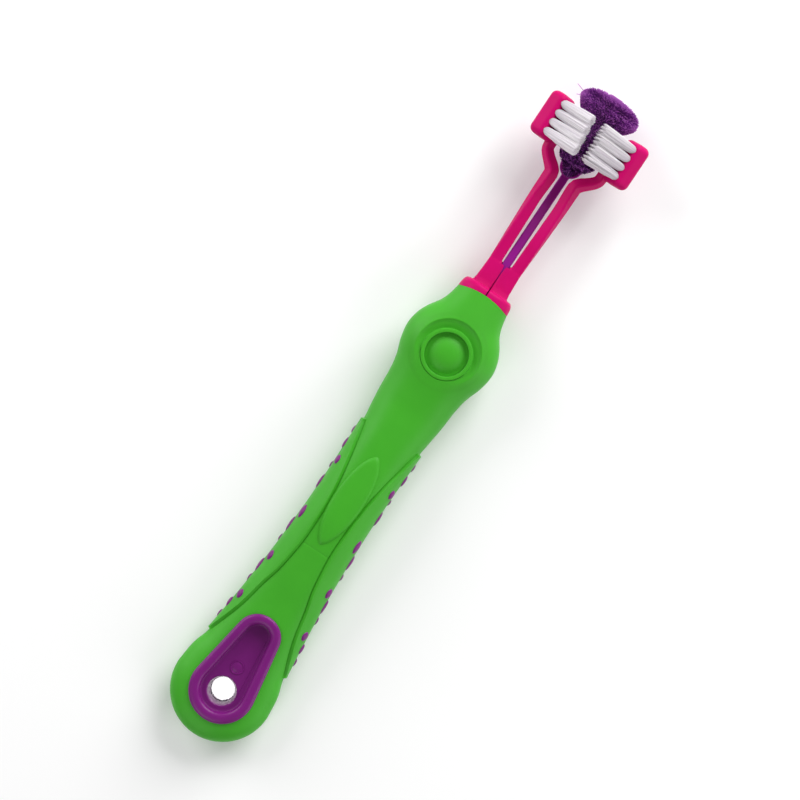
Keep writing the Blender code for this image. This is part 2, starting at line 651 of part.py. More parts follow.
def make_side_arm(side, pivot, materials):
    """The moving part of a pink moulding, with its plate and tufts."""
    name = "right" if side > 0 else "left"
    places = [HINGE_PLACE + GAP / 2] + [p * MM for p in (20, 27, 33, 38, 40, 42, 43.7, 45, 46.3, 48)]
    arm = make_object(f"{name}_arm", loft(side_arm_rings(places, side)), pivot, materials["pink"])
    direction = side_direction(side)
    along_width = Vector((side * math.sin(HEAD_TILT), 0.0, math.cos(HEAD_TILT)))
    face_middle = (side_root(0, 0, side) + side_root(SIDE_ROWS - 1, SIDE_COLUMNS - 1, side)) / 2
    middle = face_middle - direction * PLATE_THICKNESS / 2
    size = Matrix.Diagonal((PLATE_THICKNESS, PLATE_LENGTH, PLATE_WIDTH)).to_3x3()
    axes = Matrix((direction, Vector((0, 1, 0)), along_width)).transposed()
    bm = bmesh.new()
    bmesh.ops.create_cube(bm, size=1.0, matrix=Matrix.Translation(middle) @ (axes @ size).to_4x4())
    plate = make_object(f"{name}_plate", bm, pivot)
    round_edges(plate, PLATE_ROUND)
    boolean(arm, plate, "UNION")
    roots = [
        (side_root(row, column, side), direction) for row in range(SIDE_ROWS) for column in range(SIDE_COLUMNS)
    ]
    boolean(arm, drill(roots, f"{name}_holes", pivot), "DIFFERENCE")
    for number in range(SIDE_ROWS):
        row = []
        for column in range(SIDE_COLUMNS):
            root = side_root(number, column, side)
            row.append((root, direction, (abs(root.x) - SIDE_TIP_X) / math.cos(HEAD_TILT)))
        make_tuft_row(f"{name}_tufts_row_{number + 1}", row, pivot, materials["white"])


def strip_centre(place):
    """The purple arm's centre line: it leaves the fork and falls away to the back of the head."""
    fall = CENTRE_PLATE_TOP - CENTRE_PLATE_THICKNESS / 2 - STRIP_ROOT_Z
    return Vector((0.0, place, STRIP_ROOT_Z + fall * ease(HINGE_PLACE - 6 * MM, 45 * MM, place)))


def strip_rings(places):
    rings = []
    for place in places:
        along = (strip_centre(place + 0.1 * MM) - strip_centre(place - 0.1 * MM)).normalized()
        upward = Vector((1, 0, 0)).cross(along)
        rings.append(
            rectangle_ring(
                strip_centre(place), Vector((1, 0, 0)), upward, STRIP_HALF_WIDTH, STRIP_THICKNESS / 2, 0.4 * MM
            )
        )
    return rings


def centre_tufts():
    """Root, direction and length of every tuft of the centre head, row by row."""
    rows = []
    for place, count, pitch, tip_height, spread, lean in CENTRE_ROWS:
        row = []
        for k in range(count):
            share = 0.0 if count == 1 else 2 * k / (count - 1) - 1
            across = (k - (count - 1) / 2) * pitch * MM
            out, on = math.radians(spread) * share, math.radians(lean)
            direction = Vector((math.tan(out), math.tan(on), 1.0)).normalized()
            root = Vector((across, place * MM, CENTRE_PLATE_TOP))
            tip = tip_height * MM - 0.035 / MM * (across * 1.15) ** 2
            row.append((root, direction, (tip - CENTRE_PLATE_TOP) / direction.z))
        rows.append(row)
    return rows


def make_centre_arm(pivot, materials):
    """The moving part of the purple moulding, with its plate and tufts."""
    places = [HINGE_PLACE + GAP / 2] + [p * MM for p in (18, 22, 27, 32, 36, 40, 42.5, 44.35)]
    arm = make_object("centre_arm", loft(strip_rings(places)), pivot, materials["purple"])
    outline = drop_outline(*CENTRE_NARROW, *CENTRE_WIDE)
    plate = make_object(
        "centre_plate", prism(outline, CENTRE_PLATE_TOP - CENTRE_PLATE_THICKNESS, CENTRE_PLATE_TOP), pivot
    )
    round_edges(plate, 0.7 * MM)
    boolean(arm, plate, "UNION")
    rows = centre_tufts()
    roots = [(root, direction) for row in rows for root, direction, _ in row]
    boolean(arm, drill(roots, "centre_holes", pivot), "DIFFERENCE")
    for number, row in enumerate(rows, start=1):
        make_tuft_row(f"centre_tufts_row_{number}", row, pivot, materials["violet"])


def make_centre_tang(frame, material):
    """The fixed part of the purple moulding, which the two pink ones hold between them."""
    places = [-STRIP_TANG_LENGTH, 0.0, FORK_PLACE, HINGE_PLACE - GAP / 2]
    make_object("centre_tang", loft(strip_rings(places)), frame, material)


def main():
    materials = {
        "green": make_material("green_rubber", GREEN, 0.55),
        "purple": make_material("purple_plastic", PURPLE, 0.35),
        "pink": make_material("pink_plastic", PINK, 0.35),
        "white": make_material("white_nylon", WHITE, 0.5),
        "violet": make_material("purple_nylon", VIOLET, 0.5),
        "catch": make_material("white_plastic", WHITE, 0.35),
    }
    handle_frame = make_empty("handle_frame", None, (0.0, -OVERALL_LENGTH / 2, 0.0))
    head_frame = make_empty("head_frame", handle_frame, (0.0, MOUTH_PLACE, MOUTH_HEIGHT), NECK_TILT)
    make_handle_core(handle_frame, head_frame, materials["purple"])
    make_grip_skin(handle_frame, materials["green"])
    make_thumb_button(handle_frame, materials["green"])
    make_release_catch(handle_frame, materials["catch"])
    make_centre_tang(head_frame, materials["purple"])
    for side in (1, -1):
        name = "right" if side > 0 else "left"
        make_side_clip(side, head_frame, materials["pink"])
        pivot = make_empty(f"{name}_pivot", head_frame, side_arm_centre(HINGE_PLACE, side))
        make_side_arm(side, pivot, materials)
    make_centre_arm(make_empty("centre_pivot", head_frame, strip_centre(HINGE_PLACE)), materials)


clear_scene()
PARTS = make_collection("pet_toothbrush")
TOOLS = make_collection("cutters")
main()
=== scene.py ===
"""Three-headed pet toothbrush: its skin, mouldings, bristles and finishes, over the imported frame.

Run as a script, it registers its operators, runs them in order and finishes the frame. Places along the handle are
measured from its tail end, and places along the head from the neck's mouth, as a maker would measure them.
"""

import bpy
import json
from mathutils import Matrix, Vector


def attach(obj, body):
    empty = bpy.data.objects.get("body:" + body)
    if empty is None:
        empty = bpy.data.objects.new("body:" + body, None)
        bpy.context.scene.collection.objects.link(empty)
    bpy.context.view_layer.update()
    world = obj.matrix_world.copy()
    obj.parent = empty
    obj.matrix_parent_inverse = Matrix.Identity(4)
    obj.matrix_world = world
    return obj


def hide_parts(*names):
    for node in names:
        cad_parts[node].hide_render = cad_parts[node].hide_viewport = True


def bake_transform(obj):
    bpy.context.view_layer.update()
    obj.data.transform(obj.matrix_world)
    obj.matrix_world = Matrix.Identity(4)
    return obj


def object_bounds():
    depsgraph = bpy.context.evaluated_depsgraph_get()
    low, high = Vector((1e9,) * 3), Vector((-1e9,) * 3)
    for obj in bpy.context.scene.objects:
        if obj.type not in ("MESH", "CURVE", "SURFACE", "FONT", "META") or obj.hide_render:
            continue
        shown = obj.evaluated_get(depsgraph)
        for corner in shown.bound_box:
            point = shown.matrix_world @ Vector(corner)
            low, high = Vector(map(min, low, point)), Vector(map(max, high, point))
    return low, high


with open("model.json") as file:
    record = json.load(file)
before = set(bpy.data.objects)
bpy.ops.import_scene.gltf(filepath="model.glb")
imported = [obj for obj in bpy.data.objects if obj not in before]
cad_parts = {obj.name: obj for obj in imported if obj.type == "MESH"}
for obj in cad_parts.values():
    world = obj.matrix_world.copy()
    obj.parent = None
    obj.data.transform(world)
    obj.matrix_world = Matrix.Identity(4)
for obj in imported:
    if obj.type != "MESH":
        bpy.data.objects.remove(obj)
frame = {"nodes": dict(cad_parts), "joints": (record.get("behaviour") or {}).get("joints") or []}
CAD_BOX = [list(corner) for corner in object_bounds()]

import json
import math
import random

import bpy
import numpy as np
from mathutils import Matrix, Vector

bl_info = {
    "name": "Pet toothbrush",
    "version": (1, 0, 0),
    "blender": (4, 5, 0),
    "location": "View3D > Sidebar > Toothbrush",
    "description": "Builds a three-headed pet toothbrush with a soft-skinned handle",
    "category": "Object",
}

MM = 0.001
JOINTS = {joint["name"]: joint for joint in frame["joints"]}
TAIL = CAD_BOX[0][1]  # y of the handle's tail end
HEAD_AXIS = Vector(JOINTS["head_release"]["axis"]).normalized()
HEAD_TILT = math.atan2(HEAD_AXIS.z, HEAD_AXIS.y)

# Handle outline: distance from the tail end and half width, both in millimetres
TAIL_RADIUS = 15.0 * MM
WIDTH_KNOTS = [
    (15.0, 15.0), (21.3, 14.3), (26.3, 12.8), (32.0, 12.0), (43.0, 10.8), (53.0, 9.95), (63.0, 9.4),
    (73.4, 9.05), (83.4, 9.0), (92.0, 9.15), (101.0, 9.45), (105.3, 10.0), (110.0, 10.55), (117.0, 11.1),
    (121.2, 11.9), (125.2, 13.3), (129.9, 14.1), (134.0, 13.5), (137.2, 12.1), (140.6, 10.0), (144.0, 8.95),
    (148.4, 8.1),
]  # fmt: skip
DEPTH_KNOTS = [(15.0, 6.5), (25.0, 6.6), (45.0, 7.4), (73.0, 8.7), (95.0, 8.7), (110.0, 8.5), (128.4, 9.3),
               (140.0, 7.7), (148.4, 6.4)]  # fmt: skip
CENTRE_KNOTS = [(110.0, 7.5), (120.0, 8.1), (128.4, 9.3), (140.0, 9.9), (148.4, 10.2)]
BACK_FLAT = 1.0 * MM
SECTION_POWER = 2.5
TILT_START = 130.0 * MM
MOUTH_PLACE = 148.4 * MM
MOUTH_HEIGHT = 10.2 * MM
MOUTH = Vector((0.0, TAIL + MOUTH_PLACE, MOUTH_HEIGHT))
HEAD_MATRIX = Matrix.Translation(MOUTH) @ Matrix.Rotation(HEAD_TILT, 4, "X")
MOUTH_HALF_WIDTH = 8.1 * MM
MOUTH_BOW = 1.6 * MM  # how far the mouth's sides stand behind its middle
MOUTH_BOW_START = 139.0 * MM

# Side grips: where they start and end, and how far from the mid-plane their inner edge runs
GRIP_START = 27.3 * MM
GRIP_END = 100.7 * MM
GRIP_EDGE_KNOTS = [
    (27.9, 12.2), (37.5, 9.1), (46.6, 7.2), (51.8, 5.9), (57.1, 5.1), (63.1, 4.5), (72.1, 4.45), (78.8, 4.9),
    (82.3, 5.3), (90.1, 6.6), (100.3, 8.7),
]  # fmt: skip
WAIST_LINE = 62.6 * MM
ISLAND_PLACE = 79.2 * MM
ISLAND_HALF_LENGTH = 14.4 * MM
ISLAND_HALF_WIDTH = 4.5 * MM
GRIP_END_BLEND = 0.25 * MM
GROOVE_INSET = 0.2 * MM
GROOVE_WIDTH = 0.13 * MM
WAIST_LINE_DEPTH = 0.06 * MM
WAIST_LINE_WIDTH = 0.22 * MM

# Studs on the flanks: angle above the side in degrees, then place and half length in millimetres
STUD_ROWS = {
    24.0: [(40.4, 1.3), (54.2, 1.4), (69.5, 1.9), (87.1, 1.3)],
    6.0: [(36.6, 1.5), (50.0, 2.1), (64.5, 2.2), (79.3, 2.1), (92.2, 1.6)],
    -8.0: [(32.2, 1.2), (45.4, 1.2), (59.6, 1.1), (84.8, 1.0), (96.6, 1.2)],
}
STUD_HALF_WIDTH = 1.35 * MM
STUD_STRETCH = 1.2  # a whole stud over the length of it that shows
STUD_SINK = 0.6 * MM
STUD_SQUARENESS = 0.5  # below 1, a stud's top is flatter than a ball's

# Drop-shaped frame round the hanging hole: the middles of its wide and narrow ends, and their radii in millimetres
DROP_PLACE = 15.1 * MM
DROP_TOP_PLACE = 33.0 * MM
DROP_RADIUS, DROP_TOP_RADIUS = 9.6, 6.7
RECESS_RADIUS, RECESS_TOP_RADIUS = 6.2, 3.6
LEAST_TOP_RADIUS = 1.6
DROP_TOP_SLOPE = math.tan(math.radians(3.0))
RECESS_SLOPE_SHARE = 0.6  # the recess's floor slopes less than the frame
DROP_FRONT_TOP = 12.1 * MM
RECESS_FRONT_FLOOR = 9.4 * MM
RECESS_BACK_FLOOR = 3.2 * MM
DROP_BACK_LEVEL = 0.25 * MM
HOLE_PLACE = DROP_PLACE - 0.4 * MM
EJECTOR_MARK_PLACE = 22.6 * MM

# Thumb rest
THUMB_PLACE = 128.4 * MM
DISH_PLACE = 129.1 * MM
DISH_OPENING = 10.95 * MM
POCKET_RADIUS = 7.1 * MM

# Head mouldings, in the head's own frame
FORK_PLACE = 10.1 * MM
HINGE_PLACE = 13.8 * MM
ARM_START_X = 3.4 * MM
ARM_TOP_PLACE = 38.8 * MM
ARM_TOP_X = 4.3 * MM
BEND_END_PLACE = 44.8 * MM
BEND_END_X = 8.7 * MM
BEND_DROP = 1.3 * MM
SIDE_TURN = math.radians(30.0)  # how far the side brushes look forward
SIDE_DIRECTION = Vector((-math.cos(SIDE_TURN), 0.0, math.sin(SIDE_TURN)))  # from the right plate along its tufts
SIDE_WIDTH_AXIS = Vector((math.sin(SIDE_TURN), 0.0, math.cos(SIDE_TURN)))
TUFT_PITCH = 2.95 * MM
COLUMN_PITCH = 2.6 * MM
SIDE_ROWS = 4
SIDE_COLUMNS = 3
SIDE_MIDDLE = 52.2 * MM
SIDE_ROOT_X = 11.3 * MM
SIDE_ROOT_Z = 4.5 * MM
PLATE_LENGTH = 13.8 * MM
PLATE_WIDTH = 8.4 * MM
PLATE_THICKNESS = 5.5 * MM
TUFT_HOLE_RADIUS = 1.15 * MM
TUFT_HOLE_DEPTH = 3.2 * MM
STRIP_HALF_WIDTH = 1.25 * MM
STRIP_THICKNESS = 2.2 * MM
STRIP_ROOT_Z = 0.4 * MM
STRIP_START = -11.0 * MM  # the inner end of its tang
STRIP_LENGTH = 57.0 * MM
STRIP_FALL_END = 45.0 * MM  # where it has come down to its plate
CENTRE_PLATE_TOP = -6.2 * MM
CENTRE_PLATE_THICKNESS = 3.7 * MM
CENTRE_PLATE_ENDS = (43.6, 3.4, 59.4, 6.6)  # millimetres: place and radius of its narrow end and of its wide end
CENTRE_PLATE_MIDDLE = 55.0 * MM
STRIP_CLEARANCE = 0.12 * MM

# Tufts: the radius of a bundle of filaments at the face, and how deep in the hole its filaments start
TUFT_RADIUS = 0.98 * MM
FOOT_DEPTH = 2.3 * MM
SPLAY_ACROSS = 0.4 * MM
SPLAY_ALONG = 0.68 * MM
WHITE_BOW = 0.14 * MM
LEAST_GAP = 0.6 * MM

# Outline of the centre head's bristle tips: place along the head and half width, and where its rows divide
CUSHION_KNOTS = [
    (40.3, 0.3), (40.7, 1.3), (41.5, 2.0), (42.7, 2.9), (44.5, 4.9), (46.2, 5.9), (50.0, 5.9), (56.0, 5.9),
    (57.8, 6.3), (59.2, 7.8), (60.7, 9.0), (62.2, 9.5), (63.6, 9.2), (64.8, 8.0), (65.7, 6.1), (66.2, 4.0),
    (66.4, 1.6),
]  # fmt: skip
CUSHION_DIVISIONS = [40.3, 44.3, 47.2, 50.2, 53.1, 56.0, 58.9, 62.3, 66.4]
CUSHION_START = CUSHION_KNOTS[0][0] * MM
CUSHION_END = CUSHION_KNOTS[-1][0] * MM
NEAR_RIM = 42.5 * MM  # from here back to the start, and from the far rim on to the end, the tips are rounded off
FAR_RIM = 62.3 * MM
FAR_LOBE = 58.0 * MM  # the outline widens here
LOBE_HALF_WIDTH = 9.5 * MM
# Painted highlight on the far rim of the purple tips: where it starts to grow, and the pale shade it reaches
RIM_HIGHLIGHT_FROM = 61.0 * MM
RIM_HIGHLIGHT_SHADE = 0.85
WIDE_ROWS = (6, 7)  # rows that spread over the lobe, with more filaments in each tuft

# Rows of the centre head: place along the head in millimetres, number across, pitch across, tip height, spread
# and lean, both in degrees
CENTRE_ROWS = [
    (42.9, 1, 2.9, -1.0, 0.0, -8.0),
    (45.8, 3, 2.5, 0.6, 10.0, -4.0),
    (48.7, 3, 2.9, 0.9, 7.0, 0.0),
    (51.6, 3, 3.0, 0.9, 6.0, 0.0),
    (54.5, 4, 2.9, 0.7, 4.0, 0.0),
    (57.4, 4, 3.0, 0.8, 9.0, 3.0),
    (60.4, 4, 3.0, 2.4, 18.0, 6.0),
    (63.2, 3, 3.0, 2.0, 18.0, 15.0),
]
STRAYS = [((-8.2, 62.6, 0.3), (-11.6, 63.6, 1.6)), ((-8.2, 61.9, 0.3), (-10.3, 61.0, 1.2))]  # millimetres, root to tip


# ---------------------------------------------------------------- colours and finishes


def linear(code):
    """An sRGB hex colour as linear numbers."""
    values = [int(code[i : i + 2], 16) / 255 for i in (1, 3, 5)]
    return tuple(v / 12.92 if v <= 0.04045 else ((v + 0.055) / 1.055) ** 2.4 for v in values)


def add_node(tree, kind, inputs=None, **settings):
    """A shader node with its settings. Each input is a value, or a socket to link from."""
    node = tree.nodes.new(kind)
    for name, value in settings.items():
        setattr(node, name, value)
    for name, value in (inputs or {}).items():
        socket = node.inputs[name]
        if isinstance(value, bpy.types.NodeSocket):
            tree.links.new(value, socket)
        else:
            socket.default_value = value
    return node


def start_material(name, values):
    """A material, its tree and its shader, with uniform values set on the shader's own sockets."""
    material = bpy.data.materials.new(name)
    material.use_nodes = True
    shader = material.node_tree.nodes["Principled BSDF"]
    for socket, value in values.items():
        shader.inputs[socket].default_value = value
    return material, material.node_tree, shader


def moulded_finish(name, colour, deep_colour, roughness, grain_mm, relief, subsurface, specular=0.3):
    """A moulded plastic or rubber: faint clouding of its colour, an uneven gloss and a spark-eroded grain.

    The real grain is about 0.1 mm wide. That is too fine to show, so it is drawn about four times as coarse.
    """
    values = {"IOR": 1.5, "Specular IOR Level": specular, "Subsurface Weight": subsurface,
              "Subsurface Radius": (1.0, 1.0, 1.0), "Subsurface Scale": 1.2 * MM}  # fmt: skip
    material, tree, shader = start_material(name, values)
    place = add_node(tree, "ShaderNodeTexCoord").outputs["Object"]
    clouds = add_node(tree, "ShaderNodeTexNoise", {"Vector": place, "Scale": 1 / (14 * MM), "Detail": 3.0})
    cloud_range = {"Value": clouds.outputs["Fac"], "From Min": 0.3, "From Max": 0.7}
    spread = add_node(tree, "ShaderNodeMapRange", cloud_range)
    colours = {"Factor": spread.outputs["Result"], 6: (*deep_colour, 1.0), 7: (*colour, 1.0)}
    mix = add_node(tree, "ShaderNodeMix", colours, data_type="RGBA")
    tree.links.new(mix.outputs[2], shader.inputs["Base Color"])
    patches = add_node(tree, "ShaderNodeTexNoise", {"Vector": place, "Scale": 1 / (5 * MM), "Detail": 4.0})
    gloss_range = {"Value": patches.outputs["Fac"], "To Min": roughness - 0.05, "To Max": roughness + 0.05}
    gloss = add_node(tree, "ShaderNodeMapRange", gloss_range)
    tree.links.new(gloss.outputs["Result"], shader.inputs["Roughness"])
    grain = add_node(tree, "ShaderNodeTexNoise", {"Vector": place, "Scale": 1 / (grain_mm * MM), "Detail": 2.0})
    heights = {"Height": grain.outputs["Fac"], "Strength": relief, "Distance": 0.03 * MM}
    bump = add_node(tree, "ShaderNodeBump", heights)
    tree.links.new(bump.outputs["Normal"], shader.inputs["Normal"])
    return material


def soft_rubber(name, handle):
    """Soft rubber moulded over the core: satin, with a broad soft highlight and a faint grain."""
    return moulded_finish(name, handle.skin, handle.skin_deep, 0.5, 0.35, 0.25, 0.08)


def filament_finish(name, pale, mid, painted_shade_colour, roughness, specular=0.5):
    """Nylon filaments: each has its own shade, from the strand attribute, and painted shade towards its root."""
    values = {"IOR": 1.53, "Specular IOR Level": specular, "Roughness": roughness, "Subsurface Weight": 0.15,
              "Subsurface Radius": (1.0, 1.0, 1.0), "Subsurface Scale": 0.4 * MM}  # fmt: skip
    material, tree, shader = start_material(name, values)
    strand = add_node(tree, "ShaderNodeAttribute", attribute_name="strand")
    height = add_node(tree, "ShaderNodeAttribute", attribute_name="height")
    ramp = add_node(tree, "ShaderNodeValToRGB", {"Fac": strand.outputs["Fac"]})
    ramp.color_ramp.elements[0].color = (*linear(painted_shade_colour), 1.0)
    ramp.color_ramp.elements[1].color = (*linear(pale), 1.0)
    ramp.color_ramp.elements.new(0.45).color = (*linear(mid), 1.0)
    # Painted shade: the height attribute blends each filament into the dark colour towards its root.
    shades = {"Factor": height.outputs["Fac"], 6: (*linear(painted_shade_colour), 1.0), 7: ramp.outputs["Color"]}
    mix = add_node(tree, "ShaderNodeMix", shades, data_type="RGBA")
    tree.links.new(mix.outputs[2], shader.inputs["Base Color"])
    return material


def brass_finish(name, colour):
    """Stamped brass chip: bright yellow metal with faint drag lines from the wire that it is cut from."""
    material, tree, shader = start_material(name, {"Metallic": 1.0, "Base Color": (*linear(colour), 1.0)})
    place = add_node(tree, "ShaderNodeTexCoord").outputs["Object"]
    lines = add_node(tree, "ShaderNodeTexNoise", {"Vector": place, "Scale": 1 / (0.2 * MM)})
    gloss = add_node(tree, "ShaderNodeMapRange", {"Value": lines.outputs["Fac"], "To Min": 0.25, "To Max": 0.4})
    tree.links.new(gloss.outputs["Result"], shader.inputs["Roughness"])
    return material


# ---------------------------------------------------------------- tools


def deselect_all():
    for obj in bpy.context.selected_objects:
        obj.select_set(False)


def add_primitive(operator, **settings):
    deselect_all()
    operator(**settings)
    return bpy.context.object


def select_only(obj):
    deselect_all()
    obj.select_set(True)
    bpy.context.view_layer.objects.active = obj


def apply_place(obj):
    select_only(obj)
    bpy.ops.object.transform_apply(location=True, rotation=True, scale=True)


def link_object(name, data, place=(0.0, 0.0, 0.0)):
    obj = bpy.data.objects.new(name, data)
    obj.location = place
    bpy.context.scene.collection.objects.link(obj)
    return obj


def in_edit_mode(obj, *steps):
    """Runs mesh operators on the whole of a mesh. Each step is an operator and its settings."""
    select_only(obj)
    bpy.ops.object.mode_set(mode="EDIT")
    bpy.ops.mesh.select_all(action="SELECT")
    for operator, settings in steps:
        operator(**settings)
    bpy.ops.object.mode_set(mode="OBJECT")


def close_and_turn_out(obj):
    in_edit_mode(
        obj,
        (bpy.ops.mesh.remove_doubles, {"threshold": 0.002 * MM}),
        (bpy.ops.mesh.normals_make_consistent, {"inside": False}),
    )


def points_of(obj):
    values = np.empty(len(obj.data.vertices) * 3)
    obj.data.vertices.foreach_get("co", values)
    return values.reshape(-1, 3)


def move_points(obj, points):
    obj.data.vertices.foreach_set("co", np.asarray(points, float).ravel())
    obj.data.update()


def surface(name, columns, rows, point):
    """A grid primitive laid over point(column, row), with its side edges joined and its seams merged."""
    obj = add_primitive(bpy.ops.mesh.primitive_grid_add, x_subdivisions=columns, y_subdivisions=rows, size=1.0)
    obj.name = obj.data.name = name
    flat = points_of(obj)
    column = np.rint((flat[:, 0] + 0.5) * columns).astype(int) % columns
    row = np.rint((flat[:, 1] + 0.5) * rows).astype(int)
    move_points(obj, [point(c, r) for c, r in zip(column, row)])
    close_and_turn_out(obj)
    return obj


def turned(name, around, profile, point):
    """A surface that runs round: point(turn, *entry) gives the place of each entry of the profile at each turn."""
    return surface(name, around, len(profile) - 1, lambda column, row: point(math.tau * column / around, *profile[row]))


def loft(name, rings):
    """A surface laid through rings of points."""
    return surface(name, len(rings[0]), len(rings) - 1, lambda column, row: rings[row][column])


def with_closed_ends(rings):
    """Rings of points between their own middles, so that a loft through them is closed."""
    low, high = (sum(ring, Vector()) / len(ring) for ring in (rings[0], rings[-1]))
    return [[low] * len(rings[0]), *rings, [high] * len(rings[0])]


def add_modifier(obj, kind, **settings):
    select_only(obj)
    modifier = obj.modifiers.new(kind.lower(), kind)
    for name, value in settings.items():
        setattr(modifier, name, value)
    bpy.ops.object.modifier_apply(modifier=modifier.name)


def drop_faces(obj, unwanted):
    """Deletes the faces whose corners all meet a condition on their place."""
    points = points_of(obj)
    gone = np.array([unwanted(*point) for point in points])
    select_only(obj)
    bpy.ops.object.mode_set(mode="EDIT")
    bpy.ops.mesh.select_mode(type="FACE")
    bpy.ops.mesh.select_all(action="DESELECT")
    bpy.ops.object.mode_set(mode="OBJECT")
    for face in obj.data.polygons:
        face.select = bool(gone[list(face.vertices)].all())
    bpy.ops.object.mode_set(mode="EDIT")
    bpy.ops.mesh.delete(type="FACE")
    bpy.ops.mesh.select_mode(type="VERT")
    bpy.ops.object.mode_set(mode="OBJECT")


def join(obj, *others):
    select_only(obj)
    for other in others:
        other.select_set(True)
    if others:
        bpy.ops.object.join()
    return obj


def cut(obj, cutter):
    """Takes the cutter out of obj, and removes it."""
    add_modifier(obj, "BOOLEAN", operation="DIFFERENCE", object=cutter, solver="EXACT", use_self=False)
    bpy.data.objects.remove(cutter)


def finish_piece(obj, name, material, angle):
    """Names a piece, shades it and leaves it at the origin."""
    apply_place(obj)
    bpy.ops.object.shade_smooth_by_angle(angle=math.radians(angle))
    obj.name = obj.data.name = name
    obj.data.materials.clear()
    obj.data.materials.append(material)
    return obj


def box(name, low, high, matrix=None):
    """A box between two corners, which a matrix may then move."""
    low, high = Vector(low), Vector(high)
    obj = add_primitive(bpy.ops.mesh.primitive_cube_add, size=1.0, location=(low + high) / 2)
    obj.name = name
    obj.scale = high - low
    apply_place(obj)
    if matrix is not None:
        obj.data.transform(matrix)
    return obj


def pegs(placed, radius, low, high, sides):
    """Round pegs that stand along each (root, direction), joined as one cutter."""
    made = []
    size = {"vertices": sides, "radius": radius, "depth": high - low, "location": (0, 0, (low + high) / 2)}
    for root, direction in placed:
        peg = add_primitive(bpy.ops.mesh.primitive_cylinder_add, **size)
        apply_place(peg)
        peg.data.transform(standing(root, direction))
        made.append(peg)
    return join(*made)


def standing(origin, direction):
    """The matrix that stands an upright shape on origin along direction, with its x axis square to the brush."""
    across = Vector((0.0, 1.0, 0.0)).cross(direction).normalized()
    axes = Matrix((across, direction.cross(across), direction)).transposed()
    return Matrix.Translation(origin) @ axes.to_4x4()


def rounded_drop(low, low_radius, high, high_radius, steps):
    """Points round two circles on the mid-plane and along the two straight sides that touch both."""
    lean = math.asin((low_radius - high_radius) / (high - low))
    points = []
    for place, radius, start, turn in (
        (low, low_radius, math.pi - lean, math.pi + 2 * lean),
        (high, high_radius, lean, math.pi - 2 * lean),
    ):
        for k in range(steps + 1):
            angle = start + turn * k / steps
            points.append((radius * math.cos(angle), place + radius * math.sin(angle)))
    return points


# ---------------------------------------------------------------- the handle's shape


def smooth_value(knots, place):
    """Value at place, in metres, of a smooth curve through knots in millimetres. It is level beyond both ends."""
    at = place / MM
    if at <= knots[0][0]:
        return knots[0][1] * MM
    if at >= knots[-1][0]:
        return knots[-1][1] * MM
    i = max(k for k in range(len(knots) - 1) if knots[k][0] <= at)

    def slope(k):
        low, high = max(k - 1, 0), min(k + 1, len(knots) - 1)
        return (knots[high][1] - knots[low][1]) / (knots[high][0] - knots[low][0])

    (x0, v0), (x1, v1) = knots[i], knots[i + 1]
    t, span = (at - x0) / (x1 - x0), x1 - x0
    return MM * (
        v0 * (1 + 2 * t) * (1 - t) ** 2
        + slope(i) * span * t * (1 - t) ** 2
        + v1 * t * t * (3 - 2 * t)
        + slope(i + 1) * span * t * t * (t - 1)
    )


def ease(low, high, value):
    """0 before low, 1 after high, and smooth between."""
    t = min(1.0, max(0.0, (value - low) / (high - low)))
    return t * t * (3 - 2 * t)


def signed_power(value, power):
    return math.copysign(abs(value) ** power, value)


def half_depth(place):
    return smooth_value(DEPTH_KNOTS, place)


def centre_height(place):
    if place < CENTRE_KNOTS[0][0] * MM:
        return half_depth(place) - BACK_FLAT
    return smooth_value(CENTRE_KNOTS, place)


def section_sizes(place):
    """Half width and half depth of the section at place. The tail is round."""
    if place >= TAIL_RADIUS:
        return smooth_value(WIDTH_KNOTS, place), half_depth(place)
    turn = math.acos(max(0.0, 1 - place / TAIL_RADIUS))
    return TAIL_RADIUS * math.sin(turn), half_depth(place) * math.sin(turn) ** 0.6


def skin_point(place, angle, raised=0.0, inset=0.0):
    """A point of the skin's surface. Angle 0 is the right side, and a right angle is the front."""
    width, depth = section_sizes(place)
    a, b = max(width - inset + raised, 0.0), max(depth - inset + raised, 0.0)
    across = a * signed_power(math.cos(angle), 2 / SECTION_POWER)
    up = b * signed_power(math.sin(angle), 2 / SECTION_POWER)
    tilt = HEAD_TILT * ease(TILT_START, MOUTH_PLACE, place)
    height = centre_height(place) + up * math.cos(tilt)
    return Vector((across, TAIL + place - up * math.sin(tilt), max(height, inset - min(raised, 0.0))))


def front_height(x, y):
    """Height of the skin's front surface over a point."""
    place = y - TAIL
    for _ in range(3):  # the section leans, so its place is found by trial
        place = max(place, 0.5 * MM)
        width, depth = section_sizes(place)
        up = depth * max(0.0, 1 - (abs(x) / width) ** SECTION_POWER) ** (1 / SECTION_POWER)
        tilt = HEAD_TILT * ease(TILT_START, MOUTH_PLACE, place)
        place = y - TAIL + up * math.sin(tilt)
    return max(centre_height(place) + up * math.cos(tilt), 0.0)


def set_back(x):
    """How far the neck's mouth is set back at its sides, so that its rim bows towards the head."""
    return MOUTH_BOW * (x / MOUTH_HALF_WIDTH) ** 2


# ---------------------------------------------------------------- settings


def length_setting(name, description, millimetres):
    return bpy.props.FloatProperty(name=name, description=description, default=millimetres * MM, unit="LENGTH")


def colour_setting(name, description, code):
    return bpy.props.FloatVectorProperty(name=name, description=description, subtype="COLOR", default=linear(code))


